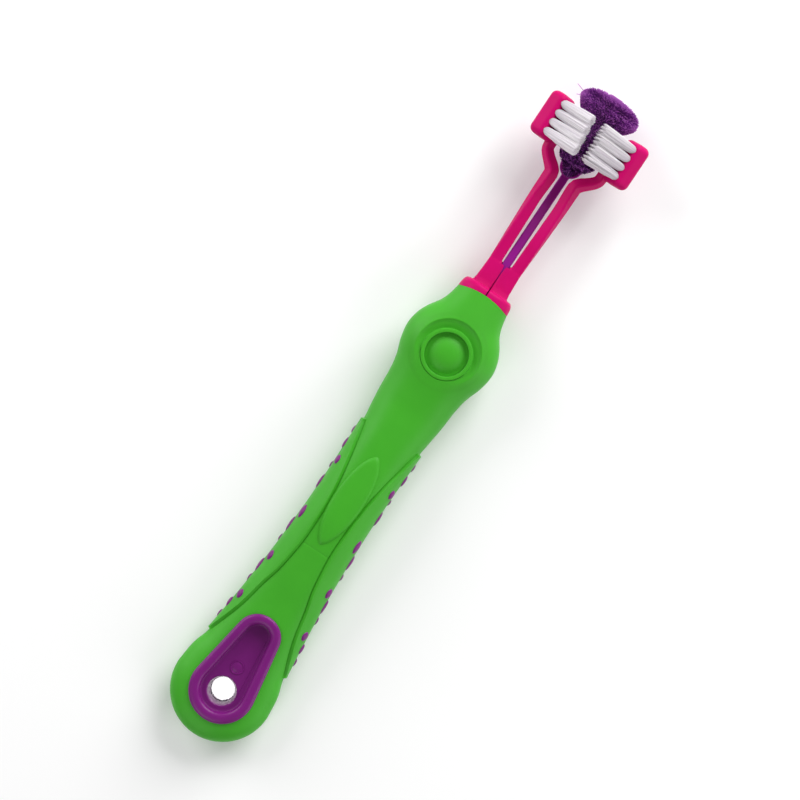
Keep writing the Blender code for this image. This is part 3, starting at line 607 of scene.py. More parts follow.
class HandleSettings(bpy.types.PropertyGroup):
    """Sizes and colours of the handle."""

    skin_thickness: length_setting("Skin thickness", "Wall of the soft skin", 1.9)
    grip_height: length_setting("Grip height", "How proud the side grips are", 0.75)
    groove_depth: length_setting("Groove depth", "Groove along the side grips", 0.35)
    island_height: length_setting("Island height", "Leaf-shaped island on the grip", 0.55)
    dish_depth: length_setting("Dish depth", "Thumb dish at its headward wall", 1.45)
    stud_height: length_setting("Stud height", "How proud the side studs are", 0.5)
    frame_height: length_setting("Frame height", "Roll round the hanging hole", 0.75)
    skin: colour_setting("Skin", "Soft rubber skin", "#3EA620")
    skin_deep: colour_setting("Skin, deep", "Darker clouds in the skin", "#3AA01D")
    core: colour_setting("Core", "Hard core", "#781876")
    core_deep: colour_setting("Core, deep", "Darker clouds in the core", "#70156E")


class HeadSettings(bpy.types.PropertyGroup):
    """Sizes and colours of the head."""

    seam: length_setting("Seam", "Half gap between the pink mouldings", 0.07)
    voxel: length_setting("Blending size", "Fineness of the mouldings' surface", 0.17)
    # Real filaments are about 0.07 mm in radius. They are drawn thicker and fewer, so that they show.
    filament_radius: length_setting("Filament radius", "Radius of a drawn filament", 0.11)
    filaments: bpy.props.IntProperty(name="Filaments", description="Filaments in each tuft", default=96, min=7)
    purple_filaments: bpy.props.IntProperty(
        name="Purple filaments", description="Half of the filaments in each of its narrow tufts", default=110, min=7
    )
    tip_gap: length_setting("Tip gap", "Mid-plane to the white tips", 1.45)
    pink: colour_setting("Pink", "Side mouldings", "#C40A66")
    pink_deep: colour_setting("Pink, deep", "Darker clouds in the pink", "#BC095F")
    violet: colour_setting("Violet", "Centre moulding", "#8C1C84")
    violet_deep: colour_setting("Violet, deep", "Darker clouds in the violet", "#82187A")


# ---------------------------------------------------------------- handle

GROOVE_OFFSETS = [-0.8, -0.45, -0.3, -0.18, -0.06, 0.04, 0.14, 0.4]  # millimetres across the grip's inner edge
CENTRE_STEPS = 9  # columns between the front line and the grip's edge
SIDE_STEPS = 11  # and from there to the side line


def grip_edge_angle(place):
    """The angle at which the grip's inner edge runs, and how much surface a radian covers there."""
    base = max(place, TAIL_RADIUS)
    share = min(smooth_value(GRIP_EDGE_KNOTS, place) / section_sizes(base)[0], 0.985)
    angle = math.acos(share ** (SECTION_POWER / 2))
    step = 0.02
    per_radian = (skin_point(base, angle + step) - skin_point(base, angle - step)).length / (2 * step)
    return angle, per_radian


def quarter_angles(place):
    """Angles of one quarter's columns, from the front line to the side, and their distance past the grip's edge."""
    edge, per_radian = grip_edge_angle(place)
    turn = [edge - offset * MM / per_radian for offset in GROOVE_OFFSETS]
    angles = [math.pi / 2 + (turn[0] - math.pi / 2) * k / CENTRE_STEPS for k in range(CENTRE_STEPS)] + turn
    angles += [turn[-1] * (1 - (k + 1) / SIDE_STEPS) for k in range(SIDE_STEPS)]
    return [(angle, (edge - angle) * per_radian) for angle in angles]


def relief(place, past_edge, settings):
    """Height of the grip's pad and groove, and of the line across the waist."""
    within = ease(GRIP_START - GRIP_END_BLEND, GRIP_START + GRIP_END_BLEND, place)
    within -= ease(GRIP_END - GRIP_END_BLEND, GRIP_END + GRIP_END_BLEND, place)
    pad = settings.grip_height * ease(-0.08 * MM, 0.16 * MM, past_edge)
    groove = settings.groove_depth * math.exp(-(((past_edge + GROOVE_INSET) / GROOVE_WIDTH) ** 2))
    line = 0.0
    if past_edge < 0:
        line = WAIST_LINE_DEPTH * math.exp(-(((place - WAIST_LINE) / WAIST_LINE_WIDTH) ** 2))
    return within * (pad - groove) - line


def handle_places():
    """Places of the skin's rows: closer together at the tail, at both ends of the grips and at the waist line."""
    rows = [TAIL_RADIUS * (1 - math.cos(math.radians(d))) for d in range(3, 90, 6)]
    pitch = 0.9 * MM
    rows += [TAIL_RADIUS + k * pitch for k in range(int((MOUTH_PLACE - TAIL_RADIUS) / pitch) + 1)]
    for middle in (GRIP_START, GRIP_END, WAIST_LINE):
        rows = [row for row in rows if abs(row - middle) > 0.55 * MM]
        rows += [middle + offset * MM for offset in (-0.4, -0.25, -0.1, 0.0, 0.1, 0.25, 0.4)]
    return sorted(rows) + [MOUTH_PLACE]


def drop_distance(x, place):
    """Distance outside the drop-shaped frame's outer edge, or inside it where negative."""
    share = min(1.0, max(0.0, (place - DROP_PLACE) / (DROP_TOP_PLACE - DROP_PLACE)))
    middle = DROP_PLACE + (DROP_TOP_PLACE - DROP_PLACE) * share
    return math.hypot(x, place - middle) - (DROP_RADIUS + (DROP_TOP_RADIUS - DROP_RADIUS) * share) * MM


def build_skin_shell(settings):
    """The skin's outer surface from its tail to its mouth, open where the frame and the thumb rest show."""
    rings = []
    for place in handle_places():
        quarter = quarter_angles(place)
        right = [skin_point(place, angle, relief(place, past, settings)) for angle, past in quarter[:-1]]
        right += [skin_point(place, -angle, relief(place, past, settings)) for angle, past in reversed(quarter)]
        ring = right + [Vector((-p.x, p.y, p.z)) for p in reversed(right[1:-1])]
        bow = ease(MOUTH_BOW_START, MOUTH_PLACE, place)
        rings.append([p - HEAD_AXIS * set_back(p.x) * bow for p in ring])
    pole = sum(rings[0], Vector()) / len(rings[0])
    pole.y = TAIL
    shell = loft("skin_shell", [[pole] * len(rings[0]), *rings])

    def covered(x, y, z):
        place = y - TAIL
        if drop_distance(x, place) < -1.0 * MM:
            return True
        return z > centre_height(place) and math.hypot(x, place - DISH_PLACE) < DISH_OPENING

    drop_faces(shell, covered)
    add_modifier(shell, "SOLIDIFY", thickness=settings.skin_thickness, offset=-1.0)
    return shell


def ring_plane(y):
    """Height of the plane that the ring's top lies in."""
    low, high = (front_height(0.0, TAIL + THUMB_PLACE + d) for d in (-7 * MM, 7 * MM))
    slope = (high - low) / (14 * MM)
    return (low + high) / 2 - 0.1 * MM + slope * (y - TAIL - THUMB_PLACE)


def build_thumb_dish(settings):
    """The thumb dish, whose wall fades out towards the tail, and the ring that stands in it."""
    wall = [(11.15, 0.0), (10.5, 0.0), (9.9, 0.0), (9.62, 0.0), (9.5, 0.02), (9.38, 0.1), (9.2, 0.24), (8.9, 0.42),
            (8.5, 0.62), (8.1, 0.8), (7.8, 0.93), (7.6, 0.99), (7.48, 1.0)]  # fmt: skip
    ring = [(7.42, None), (7.38, -0.75), (7.34, -0.15), (7.28, -0.04), (7.16, 0.0), (6.7, 0.0), (6.34, 0.0),
            (6.24, -0.05), (6.19, -0.16), (6.17, -1.5), (6.17, -3.4)]  # fmt: skip
    profile = [("wall", *entry) for entry in wall] + [("ring", *entry) for entry in ring]

    def point(turn, part, radius, level):
        middle = THUMB_PLACE + (DISH_PLACE - THUMB_PLACE) * ease(7.6, 8.8, radius)
        x = radius * MM * math.cos(turn)
        y = TAIL + middle + radius * MM * math.sin(turn)
        depth = settings.dish_depth * ease(DISH_PLACE - 8 * MM, DISH_PLACE + 2 * MM, y - TAIL)
        floor = front_height(x, y) + 0.015 * MM - depth
        if part == "wall":
            return (x, y, floor + depth * (1 - level))
        if level is None:
            return (x, y, min(floor, ring_plane(y) - 0.8 * MM))
        return (x, y, ring_plane(y) + level * MM)

    dish = turned("thumb_dish", 128, profile, point)
    add_modifier(dish, "SOLIDIFY", thickness=0.5 * MM, offset=-1.0)
    return dish


def build_island(settings):
    """The raised leaf in the middle of the grip."""
    profile = [(1.07, -0.5), (1.02, -0.08), (0.985, 0.45), (0.955, 0.78), (0.91, 0.95), (0.82, 1.0), (0.6, 1.0),
               (0.3, 1.0), (0.0, 1.0)]  # fmt: skip

    def point(turn, scale, level):
        x = scale * ISLAND_HALF_WIDTH * signed_power(math.sin(turn), 1.25)
        y = TAIL + ISLAND_PLACE + scale * ISLAND_HALF_LENGTH * math.cos(turn)
        return (x, y, front_height(x, y) + level * settings.island_height)

    island = turned("grip_island", 72, profile, point)
    add_modifier(island, "SOLIDIFY", thickness=0.6 * MM, offset=-1.0)
    return island


def build_drop_insert(settings):
    """The frame round the hanging hole, its recess, and the hole itself, from the front face to the back face."""
    roll = [(9.6, -3.0), (9.6, -0.6), (9.58, -0.1), (9.5, 0.3), (9.3, 0.62), (8.95, 0.86), (8.5, 0.97), (8.0, 1.0),
            (7.5, 0.95), (7.05, 0.78), (6.7, 0.5), (6.45, 0.1), (6.35, -0.4)]  # fmt: skip
    outlines = [("roll", big, level) for big, level in roll]
    outlines += [("floor", 6.28, 0.35), ("floor", 6.2, 0.12), ("floor", 6.0, 0.0), ("floor", 5.4, 0.0)]
    outlines += [("hole", 4.6, 0.0), ("hole", 4.38, -0.03), ("hole", 4.24, -0.14), ("hole", 4.18, -0.35)]
    outlines += [("far_hole", 3.42, 0.35), ("far_hole", 3.5, 0.1), ("far_hole", 3.75, 0.0)]
    outlines += [("far_floor", 5.4, 0.0), ("far_floor", 6.1, 0.0), ("far_floor", 6.25, 0.2)]
    outlines += [("back", 6.4, 0.5), ("back", 6.75, 0.1), ("back", 7.4, 0.0), ("back", 8.7, 0.0), ("back", 9.3, 0.12)]
    outlines += [("back", 9.6, 0.5), ("back", 9.6, 2.5)]
    taper = (DROP_TOP_RADIUS - RECESS_TOP_RADIUS) / (DROP_RADIUS - RECESS_RADIUS)
    shapes = {}
    for _, big, _ in outlines:
        small = max(RECESS_TOP_RADIUS + (big - RECESS_RADIUS) * taper, LEAST_TOP_RADIUS)
        shapes[big] = rounded_drop(DROP_PLACE, big * MM, DROP_TOP_PLACE, small * MM, 20)
    around = len(shapes[DROP_RADIUS])
    start = math.pi - math.asin((DROP_RADIUS - DROP_TOP_RADIUS) * MM / (DROP_TOP_PLACE - DROP_PLACE))

    def point(column, row):
        kind, big, level = outlines[row % len(outlines)]
        if kind in ("hole", "far_hole"):
            turn = start + math.tau * column / around
            x, place = big * MM * math.cos(turn), HOLE_PLACE + big * MM * math.sin(turn)
        else:
            x, place = shapes[big][column]
        rise = (place - DROP_PLACE) * DROP_TOP_SLOPE
        if kind == "roll":
            height = (DROP_FRONT_TOP + rise + front_height(x, TAIL + place)) / 2
            height += level * (settings.frame_height if level > 0 else MM)
        elif kind in ("floor", "hole"):
            height = RECESS_FRONT_FLOOR + rise * RECESS_SLOPE_SHARE + level * MM
        elif kind in ("far_floor", "far_hole"):
            height = RECESS_BACK_FLOOR + (level if kind == "far_hole" else -level) * MM
        else:
            height = DROP_BACK_LEVEL + level * MM
        return (x, TAIL + place, height)

    return surface("drop_insert", around, len(outlines), point)


def build_ejector_mark():
    """The round mark that an ejector pin leaves in the recess's floor."""
    profile = [(0.0, 0.1), (1.3, 0.1), (1.45, 0.02), (1.6, 0.02), (1.75, 0.2), (1.95, 0.2), (2.02, 0.1),
               (2.05, -0.3)]  # fmt: skip

    def point(turn, radius, level):
        place = EJECTOR_MARK_PLACE + radius * MM * math.sin(turn)
        floor = RECESS_FRONT_FLOOR + (place - DROP_PLACE) * DROP_TOP_SLOPE * RECESS_SLOPE_SHARE
        return (radius * MM * math.cos(turn), TAIL + place, floor + level * MM)

    mark = turned("ejector_mark", 40, profile, point)
    add_modifier(mark, "SOLIDIFY", thickness=0.2 * MM, offset=-1.0)
    return mark


def build_studs(settings):
    """The studs of the core that stand through the side grips: low oval domes."""
    made = []
    depth = settings.stud_height + STUD_SINK
    for above, row in STUD_ROWS.items():
        for place, half_length in row:
            below, here, beyond = (
                skin_point(place * MM, math.radians(above) + turn, settings.grip_height) for turn in (-0.05, 0.0, 0.05)
            )
            along = (beyond - below).normalized()
            outward = Vector((along.z, 0.0, -along.x))
            lengthwise = Vector((0, STUD_STRETCH * half_length * MM, 0))
            axes = Matrix((along * STUD_HALF_WIDTH, lengthwise, outward * depth)).transposed()
            for side in (1, -1):
                stud = add_primitive(bpy.ops.mesh.primitive_uv_sphere_add, segments=24, ring_count=12, radius=1.0)
                move_points(stud, [(x, y, signed_power(z, STUD_SQUARENESS)) for x, y, z in points_of(stud)])
                stud.data.transform(Matrix.Translation(here - outward * STUD_SINK) @ axes.to_4x4())
                stud.data.transform(Matrix.Diagonal((side, 1, 1, 1)))
                close_and_turn_out(stud)
                made.append(stud)
    return join(*made)


def build_core_body(settings):
    """The part of the core that the skin hides, with the socket for the tangs and the pocket for the dome."""
    count = around = 40
    inset = settings.skin_thickness + 0.3 * MM
    places = [41 * MM + k * (MOUTH_PLACE - 43 * MM) / count for k in range(count + 1)]
    rings = [[skin_point(p, math.tau * (c + 0.5) / around, inset=inset) for c in range(around)] for p in places]
    body = loft("core_body", with_closed_ends(rings))
    cut(body, box("socket", (-5.1 * MM, -15.3 * MM, -2.0 * MM), (5.1 * MM, 3 * MM, 2.0 * MM), HEAD_MATRIX))
    dome_root = (Vector((0.0, TAIL + THUMB_PLACE, 0.0)), Vector((0, 0, 1)))
    cut(body, pegs([dome_root], POCKET_RADIUS, 10.8 * MM, 30 * MM, 48))
    low = (-2.2 * MM, TAIL + 124.2 * MM, 4.7 * MM)
    cut(body, box("catch_well", low, (2.2 * MM, TAIL + 136.2 * MM, 20 * MM)))
    return body


def build_dome():
    """The soft dome, the membrane round it and the skirt that goes down into the skin."""
    profile = [(0.0, -0.15), (1.2, -0.18), (2.2, -0.28), (3.1, -0.46), (3.8, -0.7), (4.4, -0.98), (4.8, -1.2),
               (5.15, -1.36), (5.5, -1.44), (5.9, -1.46), (6.1, -1.48), (6.14, -1.55), (6.14, -3.6),
               (0.0, -3.6)]  # fmt: skip

    def point(turn, radius, level):
        y = TAIL + THUMB_PLACE + radius * MM * math.sin(turn)
        return (radius * MM * math.cos(turn), y, ring_plane(y) + level * MM)

    return turned("dome", 96, profile, point)


# ---------------------------------------------------------------- head


def knee(place):
    """1 where the arm starts to bend outwards, falling to 0 on both sides of it."""
    return ease(ARM_TOP_PLACE - 9 * MM, ARM_TOP_PLACE, place) - ease(ARM_TOP_PLACE, ARM_TOP_PLACE + 3.5 * MM, place)


def arm_centre(place):
    """The right pink arm's centre line: straight and slightly spread, then bent outwards to its head."""
    straight = min((place - FORK_PLACE) / (ARM_TOP_PLACE - FORK_PLACE), 1.0)
    across = ARM_START_X + (ARM_TOP_X - ARM_START_X) * straight
    across += (BEND_END_X - ARM_TOP_X) * ease(ARM_TOP_PLACE, BEND_END_PLACE, place)
    across -= 0.35 * MM * knee(place)
    return Vector((across, place, -BEND_DROP * ease(FORK_PLACE, BEND_END_PLACE, place)))


def rounded_ring(half_across, half_up, corner, steps=4):
    """Points round a rectangle with rounded corners, as (across, up) pairs."""
    points = []
    for k, (sx, sz) in enumerate(((1, 1), (-1, 1), (-1, -1), (1, -1))):
        for step in range(steps + 1):
            turn = math.pi / 2 * (k + step / steps)
            x = sx * (half_across - corner) + corner * math.cos(turn)
            points.append((x, sz * (half_up - corner) + corner * math.sin(turn)))
    return points


def tube(name, stations):
    """A closed bar through stations of (centre, across, up, ring). It is drawn in the head's frame."""
    rings = [[centre + across * x + up * z for x, z in ring] for centre, across, up, ring in stations]
    return loft(name, with_closed_ends(rings))


def arm_stations():
    """Stations of the right arm, which turns towards the front and grows slimmer on its way to its head."""
    first, last, count = FORK_PLACE - 2 * MM, BEND_END_PLACE + 3.6 * MM, 60
    stations = []
    for k in range(count):
        place = first + (last - first) * k / (count - 1)
        along = (arm_centre(place + 0.1 * MM) - arm_centre(place - 0.1 * MM)).normalized()
        flat = along.cross(Vector((0, 0, 1))).normalized()
        bent = ease(FORK_PLACE - 4 * MM, ARM_TOP_PLACE, place)
        turn = Matrix.Rotation(-SIDE_TURN * bent, 3, along)
        slim = 0.1 * ease(ARM_TOP_PLACE, BEND_END_PLACE, place)
        ring = rounded_ring(1.75 * MM * (1 - 0.15 * bent - slim), (1.6 + 0.45 * knee(place)) * MM, 0.5 * MM)
        stations.append((arm_centre(place), turn @ flat, turn @ flat.cross(along), ring))
    return stations


def side_root(row, column):
    """The middle of a tuft's root on the right head's face. Column 0 is the front one."""
    place = SIDE_MIDDLE + (row - (SIDE_ROWS - 1) / 2) * TUFT_PITCH
    step = column * COLUMN_PITCH
    return Vector((SIDE_ROOT_X - step * math.sin(SIDE_TURN), place, SIDE_ROOT_Z - step * math.cos(SIDE_TURN)))


def side_tufts():
    """Root and direction of every tuft of the right head."""
    return [(side_root(row, column), SIDE_DIRECTION) for row in range(SIDE_ROWS) for column in range(SIDE_COLUMNS)]


def run_together(parts, settings, rounds, tufts):
    """Makes overlapping parts one moulding with softened inner corners, and sinks its tuft holes."""
    moulding = join(*parts)
    add_modifier(moulding, "REMESH", mode="VOXEL", voxel_size=settings.voxel, use_smooth_shade=True)
    add_modifier(moulding, "SMOOTH", factor=0.5, iterations=rounds)
    cut(moulding, pegs(tufts, TUFT_HOLE_RADIUS, -TUFT_HOLE_DEPTH, 1.2 * MM, 20))
    return moulding


def build_right_moulding(settings):
    """The right pink moulding: tang, half flange, half stem, arm and plate, run together as if moulded."""
    x, z = Vector((1, 0, 0)), Vector((0, 0, 1))
    seam = settings.seam
    sections = [(-15.0, 4.3, 1.2, 0.3), (-14.4, 4.75, 1.65, 0.4), (0.6, 4.8, 1.7, 0.4), (1.5, 5.9, 3.4, 0.8),
                (2.3, 5.6, 2.9, 0.7), (3.6, 5.4, 2.5, 0.6), (6.5, 5.25, 2.05, 0.5), (9.9, 5.1, 1.66, 0.5),
                (10.5, 5.05, 1.3, 0.5)]  # fmt: skip
    stations = []
    for place, out, deep, corner in sections:
        middle, half = (out * MM + seam) / 2, (out * MM - seam) / 2
        stations.append((Vector((middle, place * MM, 0)), x, z, rounded_ring(half, deep * MM, corner * MM)))
    parts = (tube("stem", stations), tube("arm", arm_stations()), build_half_flange(seam), build_side_plate())
    moulding = run_together(parts, settings, 3, side_tufts())
    across, up = STRIP_HALF_WIDTH + STRIP_CLEARANCE, STRIP_THICKNESS / 2 + STRIP_CLEARANCE
    low = (-across, -11.5 * MM, STRIP_ROOT_Z - up)
    cut(moulding, box("strip_groove", low, (across, 30 * MM, STRIP_ROOT_Z + up)))
    return moulding


def build_half_flange(seam):
    """Half of the collar that stands on the neck's mouth. Its front edge bows towards the head, like the mouth's."""
    profile = [(-0.2, None), (-0.2, 0.5), (-0.15, 0.1), (0.0, 0.0), (0.8, 0.12), (1.3, 0.25), (1.7, 0.5),
               (1.95, 0.85), (2.1, 1.4), (2.1, None)]  # fmt: skip

    def point(turn, place, shrink):
        if shrink is None:
            return (0.0, place * MM, 0.0)
        x = (8.15 - shrink) * MM * signed_power(math.cos(turn), 0.8)
        z = (6.45 - shrink) * MM * signed_power(math.sin(turn), 0.8)
        return (x, place * MM - set_back(x) * (1 - 0.85 * max(place, 0) / 2.1), z)

    flange = turned("flange", 64, profile, point)
    # The collar's seam is a little wider than the stem's, or it would close when the parts run together.
    plane = {"plane_co": (seam + 0.1 * MM, 0, 0), "plane_no": (-1, 0, 0), "use_fill": True, "clear_outer": True}
    in_edit_mode(flange, (bpy.ops.mesh.bisect, plane))
    return flange


def build_side_plate():
    """The rounded block that holds the white tufts."""
    face_middle = (side_root(0, 0) + side_root(SIDE_ROWS - 1, SIDE_COLUMNS - 1)) / 2
    middle = face_middle - SIDE_DIRECTION * PLATE_THICKNESS / 2
    half = Vector((PLATE_THICKNESS, PLATE_LENGTH, PLATE_WIDTH)) / 2
    plate = box("plate", -half, half)
    add_modifier(plate, "BEVEL", width=1.9 * MM, segments=6, affect="EDGES", limit_method="NONE")
    axes = Matrix((SIDE_DIRECTION, Vector((0, 1, 0)), SIDE_WIDTH_AXIS)).transposed()
    plate.data.transform(Matrix.Translation(middle) @ axes.to_4x4())
    close_and_turn_out(plate)
    return plate


def strip_centre(place):
    """The purple arm's centre line: it leaves the fork and falls away to the back of the head."""
    fall = CENTRE_PLATE_TOP - CENTRE_PLATE_THICKNESS / 2 - STRIP_ROOT_Z
    return Vector((0.0, place, STRIP_ROOT_Z + fall * ease(HINGE_PLACE - 6 * MM, STRIP_FALL_END, place)))


def build_centre_moulding(settings):
    """The purple moulding: tang, thin arm and the plate of the back head."""
    x = Vector((1, 0, 0))
    ring = rounded_ring(STRIP_HALF_WIDTH, STRIP_THICKNESS / 2, 0.45 * MM)
    stations, count = [], 80
    for k in range(count):
        place = STRIP_START + STRIP_LENGTH * k / (count - 1)
        along = (strip_centre(place + 0.1 * MM) - strip_centre(place - 0.1 * MM)).normalized()
        stations.append((strip_centre(place), x, x.cross(along), ring))
    strip = tube("strip", stations)
    rows = [(0.0, None), (0.0, -1.0), (0.0, -0.35), (0.28, -0.08), (0.75, 0.0), (2.9, 0.0), (3.4, -0.1), (3.7, -0.45),
            (3.7, -1.0), (3.7, None)]  # fmt: skip
    low, low_radius, high, high_radius = (value * MM for value in CENTRE_PLATE_ENDS)
    grown = [(grow or 0.0) * MM for _, grow in rows]
    outlines = [rounded_drop(low, low_radius + grow, high, high_radius + grow, 16) for grow in grown]

    def point(column, row):
        depth, grow = rows[row]
        spot = (0.0, CENTRE_PLATE_MIDDLE) if grow is None else outlines[row][column]
        return (*spot, CENTRE_PLATE_TOP - depth * MM)

    plate = surface("centre_plate", len(outlines[0]), len(rows) - 1, point)
    return run_together((strip, plate), settings, 2, [tuft for row in centre_tufts() for tuft in row])


def centre_tufts():
    """Root and direction of every tuft of the centre head, row by row."""
    rows = []
    for place, count, pitch, _, spread, lean in CENTRE_ROWS:
        row = []
        for k in range(count):
            share = 0.0 if count == 1 else 2 * k / (count - 1) - 1
            out, on = math.radians(spread) * share, math.radians(lean)
            root = Vector(((k - (count - 1) / 2) * pitch * MM, place * MM, CENTRE_PLATE_TOP))
            row.append((root, Vector((math.tan(out), math.tan(on), 1.0)).normalized()))
        rows.append(row)
    return rows


# ---------------------------------------------------------------- bristles

GOLDEN_TURN = 2.39996  # radians
SQUARE_STEPS = (0.7548777, 0.5698403)  # these steps fill a square evenly
# Painted shade towards each filament's root: how much of its own colour is left at the root, and how far up the shade
# reaches
PAINTED_ROOT_SHADE = 0.3
PAINTED_SHADE_REACH = 1 / 1.6  # share of a filament's length


def plain_filament():
    """One filament, of length 1 and radius 1, with its points at five heights."""
    size = {"vertices": 5, "radius": 1.0, "depth": 1.0, "location": (0, 0, 0.5)}
    filament = add_primitive(bpy.ops.mesh.primitive_cylinder_add, **size)
    apply_place(filament)
    for height in (0.4, 0.75, 0.965):
        in_edit_mode(filament, (bpy.ops.mesh.bisect, {"plane_co": (0, 0, height), "plane_no": (0, 0, 1)}))
    points = points_of(filament)
    points[points[:, 2] > 0.99, :2] *= 0.6
    points[points[:, 2] < 0.01, :2] *= 0.7
    faces = [list(face.vertices) for face in filament.data.polygons]
    bpy.data.objects.remove(filament)
    return points, faces


def bristle_mesh(strands):
    """One mesh from strands of (root, tip, bow, radius, shade). Each runs from root to tip and bows on the way."""
    points, faces = plain_filament()
    height = points[:, 2:3]
    all_points, all_faces, shades, heights = [], [], [], []
    for count, (root, tip, bow, radius, shade) in enumerate(strands):
        along = (tip - root).normalized()
        across = along.cross(Vector((0.0, 1.0, 0.3))).normalized()
        upward = along.cross(across)
        path = np.array(root) + height * np.array(tip - root) + np.array(bow) * (height * (1 - height) * 4)
        spot = path + radius * (points[:, 0:1] * np.array(across) + points[:, 1:2] * np.array(upward))
        all_points.append(spot)
        shift = count * len(points)
        all_faces += [[index + shift for index in face] for face in faces]
        shades += [shade] * len(points)
        # painted shade: each filament is drawn darker towards its root
        heights.append(PAINTED_ROOT_SHADE + (1 - PAINTED_ROOT_SHADE) * np.clip(height[:, 0] / PAINTED_SHADE_REACH, 0, 1))
    mesh = bpy.data.meshes.new("bristles")
    mesh.from_pydata(np.concatenate(all_points).tolist(), [], all_faces)
    for attribute_name, values in (("strand", shades), ("height", np.concatenate(heights))):
        attribute = mesh.attributes.new(attribute_name, "FLOAT", "POINT")
        attribute.data.foreach_set("value", np.asarray(values, np.float32))
    return link_object("bristles", mesh)


def disc_points(count, chance):
    """Points spread evenly over a disc of radius 1, slightly shaken."""
    points = []
    for k in range(count):
        radius = math.sqrt((k + 0.5) / count)
        turn = k * GOLDEN_TURN
        points.append((radius * math.cos(turn) + chance.uniform(-0.04, 0.04),
                       radius * math.sin(turn) + chance.uniform(-0.04, 0.04)))  # fmt: skip
    return points


def white_strands(side, row, settings, chance):
    """The strands of one row of a side head. They end at a plane beside the mid-plane, and splay on the way."""
    strands = []
    length_axis, mirror = Vector((0, 1, 0)), Vector((side, 1, 1))
    for column in range(SIDE_COLUMNS):
        root = side_root(row, column)
        for u, v in disc_points(settings.filaments, chance):
            outward = SIDE_WIDTH_AXIS * u + length_axis * v
            start = root + outward * TUFT_RADIUS
            splay_u = SPLAY_ACROSS + chance.uniform(-0.1, 0.1) * MM
            splay_v = SPLAY_ALONG + chance.uniform(-0.1, 0.1) * MM
            gap = settings.tip_gap + chance.gauss(0, 0.1 if side < 0 else 0.2) * MM
            if side < 0:
                gap += 0.3 * MM * row
            else:  # the right head's tips end in points, row by row
                gap += (0.15 * (SIDE_ROWS - 1 - row) + 0.7 * math.sin(5.0 * v + 1.7 * row) ** 2 - 0.35) * MM
            reach = (root.x - max(gap, LEAST_GAP)) / math.cos(SIDE_TURN)
            tip = start + SIDE_DIRECTION * reach + SIDE_WIDTH_AXIS * u * splay_u + length_axis * v * splay_v
            foot = start - SIDE_DIRECTION * FOOT_DEPTH
            bow = outward * WHITE_BOW + Vector([chance.gauss(0, 0.05) * MM for _ in range(3)])
            ends = [HEAD_MATRIX @ (point * mirror) for point in (foot, tip)]
            bow = HEAD_MATRIX.to_3x3() @ (bow * mirror)
            strands.append((*ends, bow, settings.filament_radius, chance.random()))
    return strands


def square_points(count):
    """Pairs from 0 to 1 that fill a square evenly."""
    return [tuple((0.5 + k * step) % 1.0 for step in SQUARE_STEPS) for k in range(count)]


def disc_place(s, t):
    """Where a point of the unit square lands on a disc of radius 1, with its neighbours still beside it."""
    a, b = 2 * s - 1, 2 * t - 1
    turn = math.atan2(b, a)
    return Vector((math.cos(turn), math.sin(turn))) * max(abs(a), abs(b))


def cushion_tip(number, count, column, s, t, chance):
    """The tip of a strand of the centre head. The tips fill the head's outline evenly, and its rim is rounded."""
    low, high = CUSHION_DIVISIONS[number], CUSHION_DIVISIONS[number + 1]
    # Each row's tips reach a little into its neighbours', so that no line shows between rows.
    place = min(low + (high - low) * (1.3 * t - 0.15 * (number > 0)), CUSHION_KNOTS[-1][0]) * MM
    share = 2 * (column + s) / count - 1
    across = share * smooth_value(CUSHION_KNOTS, place)
    level = smooth_value([(row[0], row[3]) for row in CENTRE_ROWS], place)
    rim = max(abs(share), ease(FAR_RIM, CUSHION_END, place), 0.8 * ease(NEAR_RIM, CUSHION_START, place))
    level -= (0.5 * rim**2 + 1.6 * rim**6) * MM
    shake = 0.09 * MM * (1 - rim**2)
    return Vector((across, place - 0.03 * MM * chance.random(), level + chance.gauss(0, 1) * shake))


def purple_strands(number, row, settings, chance):
    """The strands of one row of the centre head, whose tips meet those of its neighbours."""
    strands = []
    for column, (root, direction) in enumerate(row):
        across = Vector((0.0, 1.0, 0.0)).cross(direction).normalized()
        upward = direction.cross(across)
        for s, t in square_points(settings.purple_filaments * (3 if number in WIDE_ROWS else 2)):
            on_disc = disc_place(s, t) * TUFT_RADIUS
            start = root + across * on_disc.x + upward * on_disc.y - direction * FOOT_DEPTH
            tip = cushion_tip(number, len(row), column, s, t, chance)
            bow = Vector([chance.gauss(0, 0.03) * MM for _ in range(3)])
            # Painted shade: most strands are drawn near the ramp's dark end, so the middle of the head reads darker.
            shade = chance.random() ** 1.6
            if tip.y > FAR_LOBE:  # painted highlight: the filaments of the far rim lean outwards, and are drawn paler
                edge = max(abs(tip.x) / LOBE_HALF_WIDTH, ease(RIM_HIGHLIGHT_FROM, CUSHION_END, tip.y))
                shade += (RIM_HIGHLIGHT_SHADE - shade) * edge**4
            strands.append((start, tip, bow, settings.filament_radius * 1.4, shade))
    if number == len(CENTRE_ROWS) - 1:
        for start, tip in STRAYS:
            strands.append((Vector(start) * MM, Vector(tip) * MM, Vector((0, 0, 0.2 * MM)), 0.09 * MM, 0.9))
    turn = HEAD_MATRIX.to_3x3()
    return [(HEAD_MATRIX @ a, HEAD_MATRIX @ b, turn @ bow, radius, shade) for a, b, bow, radius, shade in strands]


def build_anchors(placed):
    """The metal chips that hold folded tufts at the bottom of their holes."""
    made = []
    for root, direction in placed:
        chip = box("chip", (-0.75 * MM, -0.15 * MM, -3.0 * MM), (0.75 * MM, 0.15 * MM, -1.9 * MM))
        add_modifier(chip, "BEVEL", width=0.05 * MM, segments=1, limit_method="NONE")
        chip.data.transform(HEAD_MATRIX @ standing(root, direction))
        made.append(chip)
    return join(*made)


# ---------------------------------------------------------------- operators


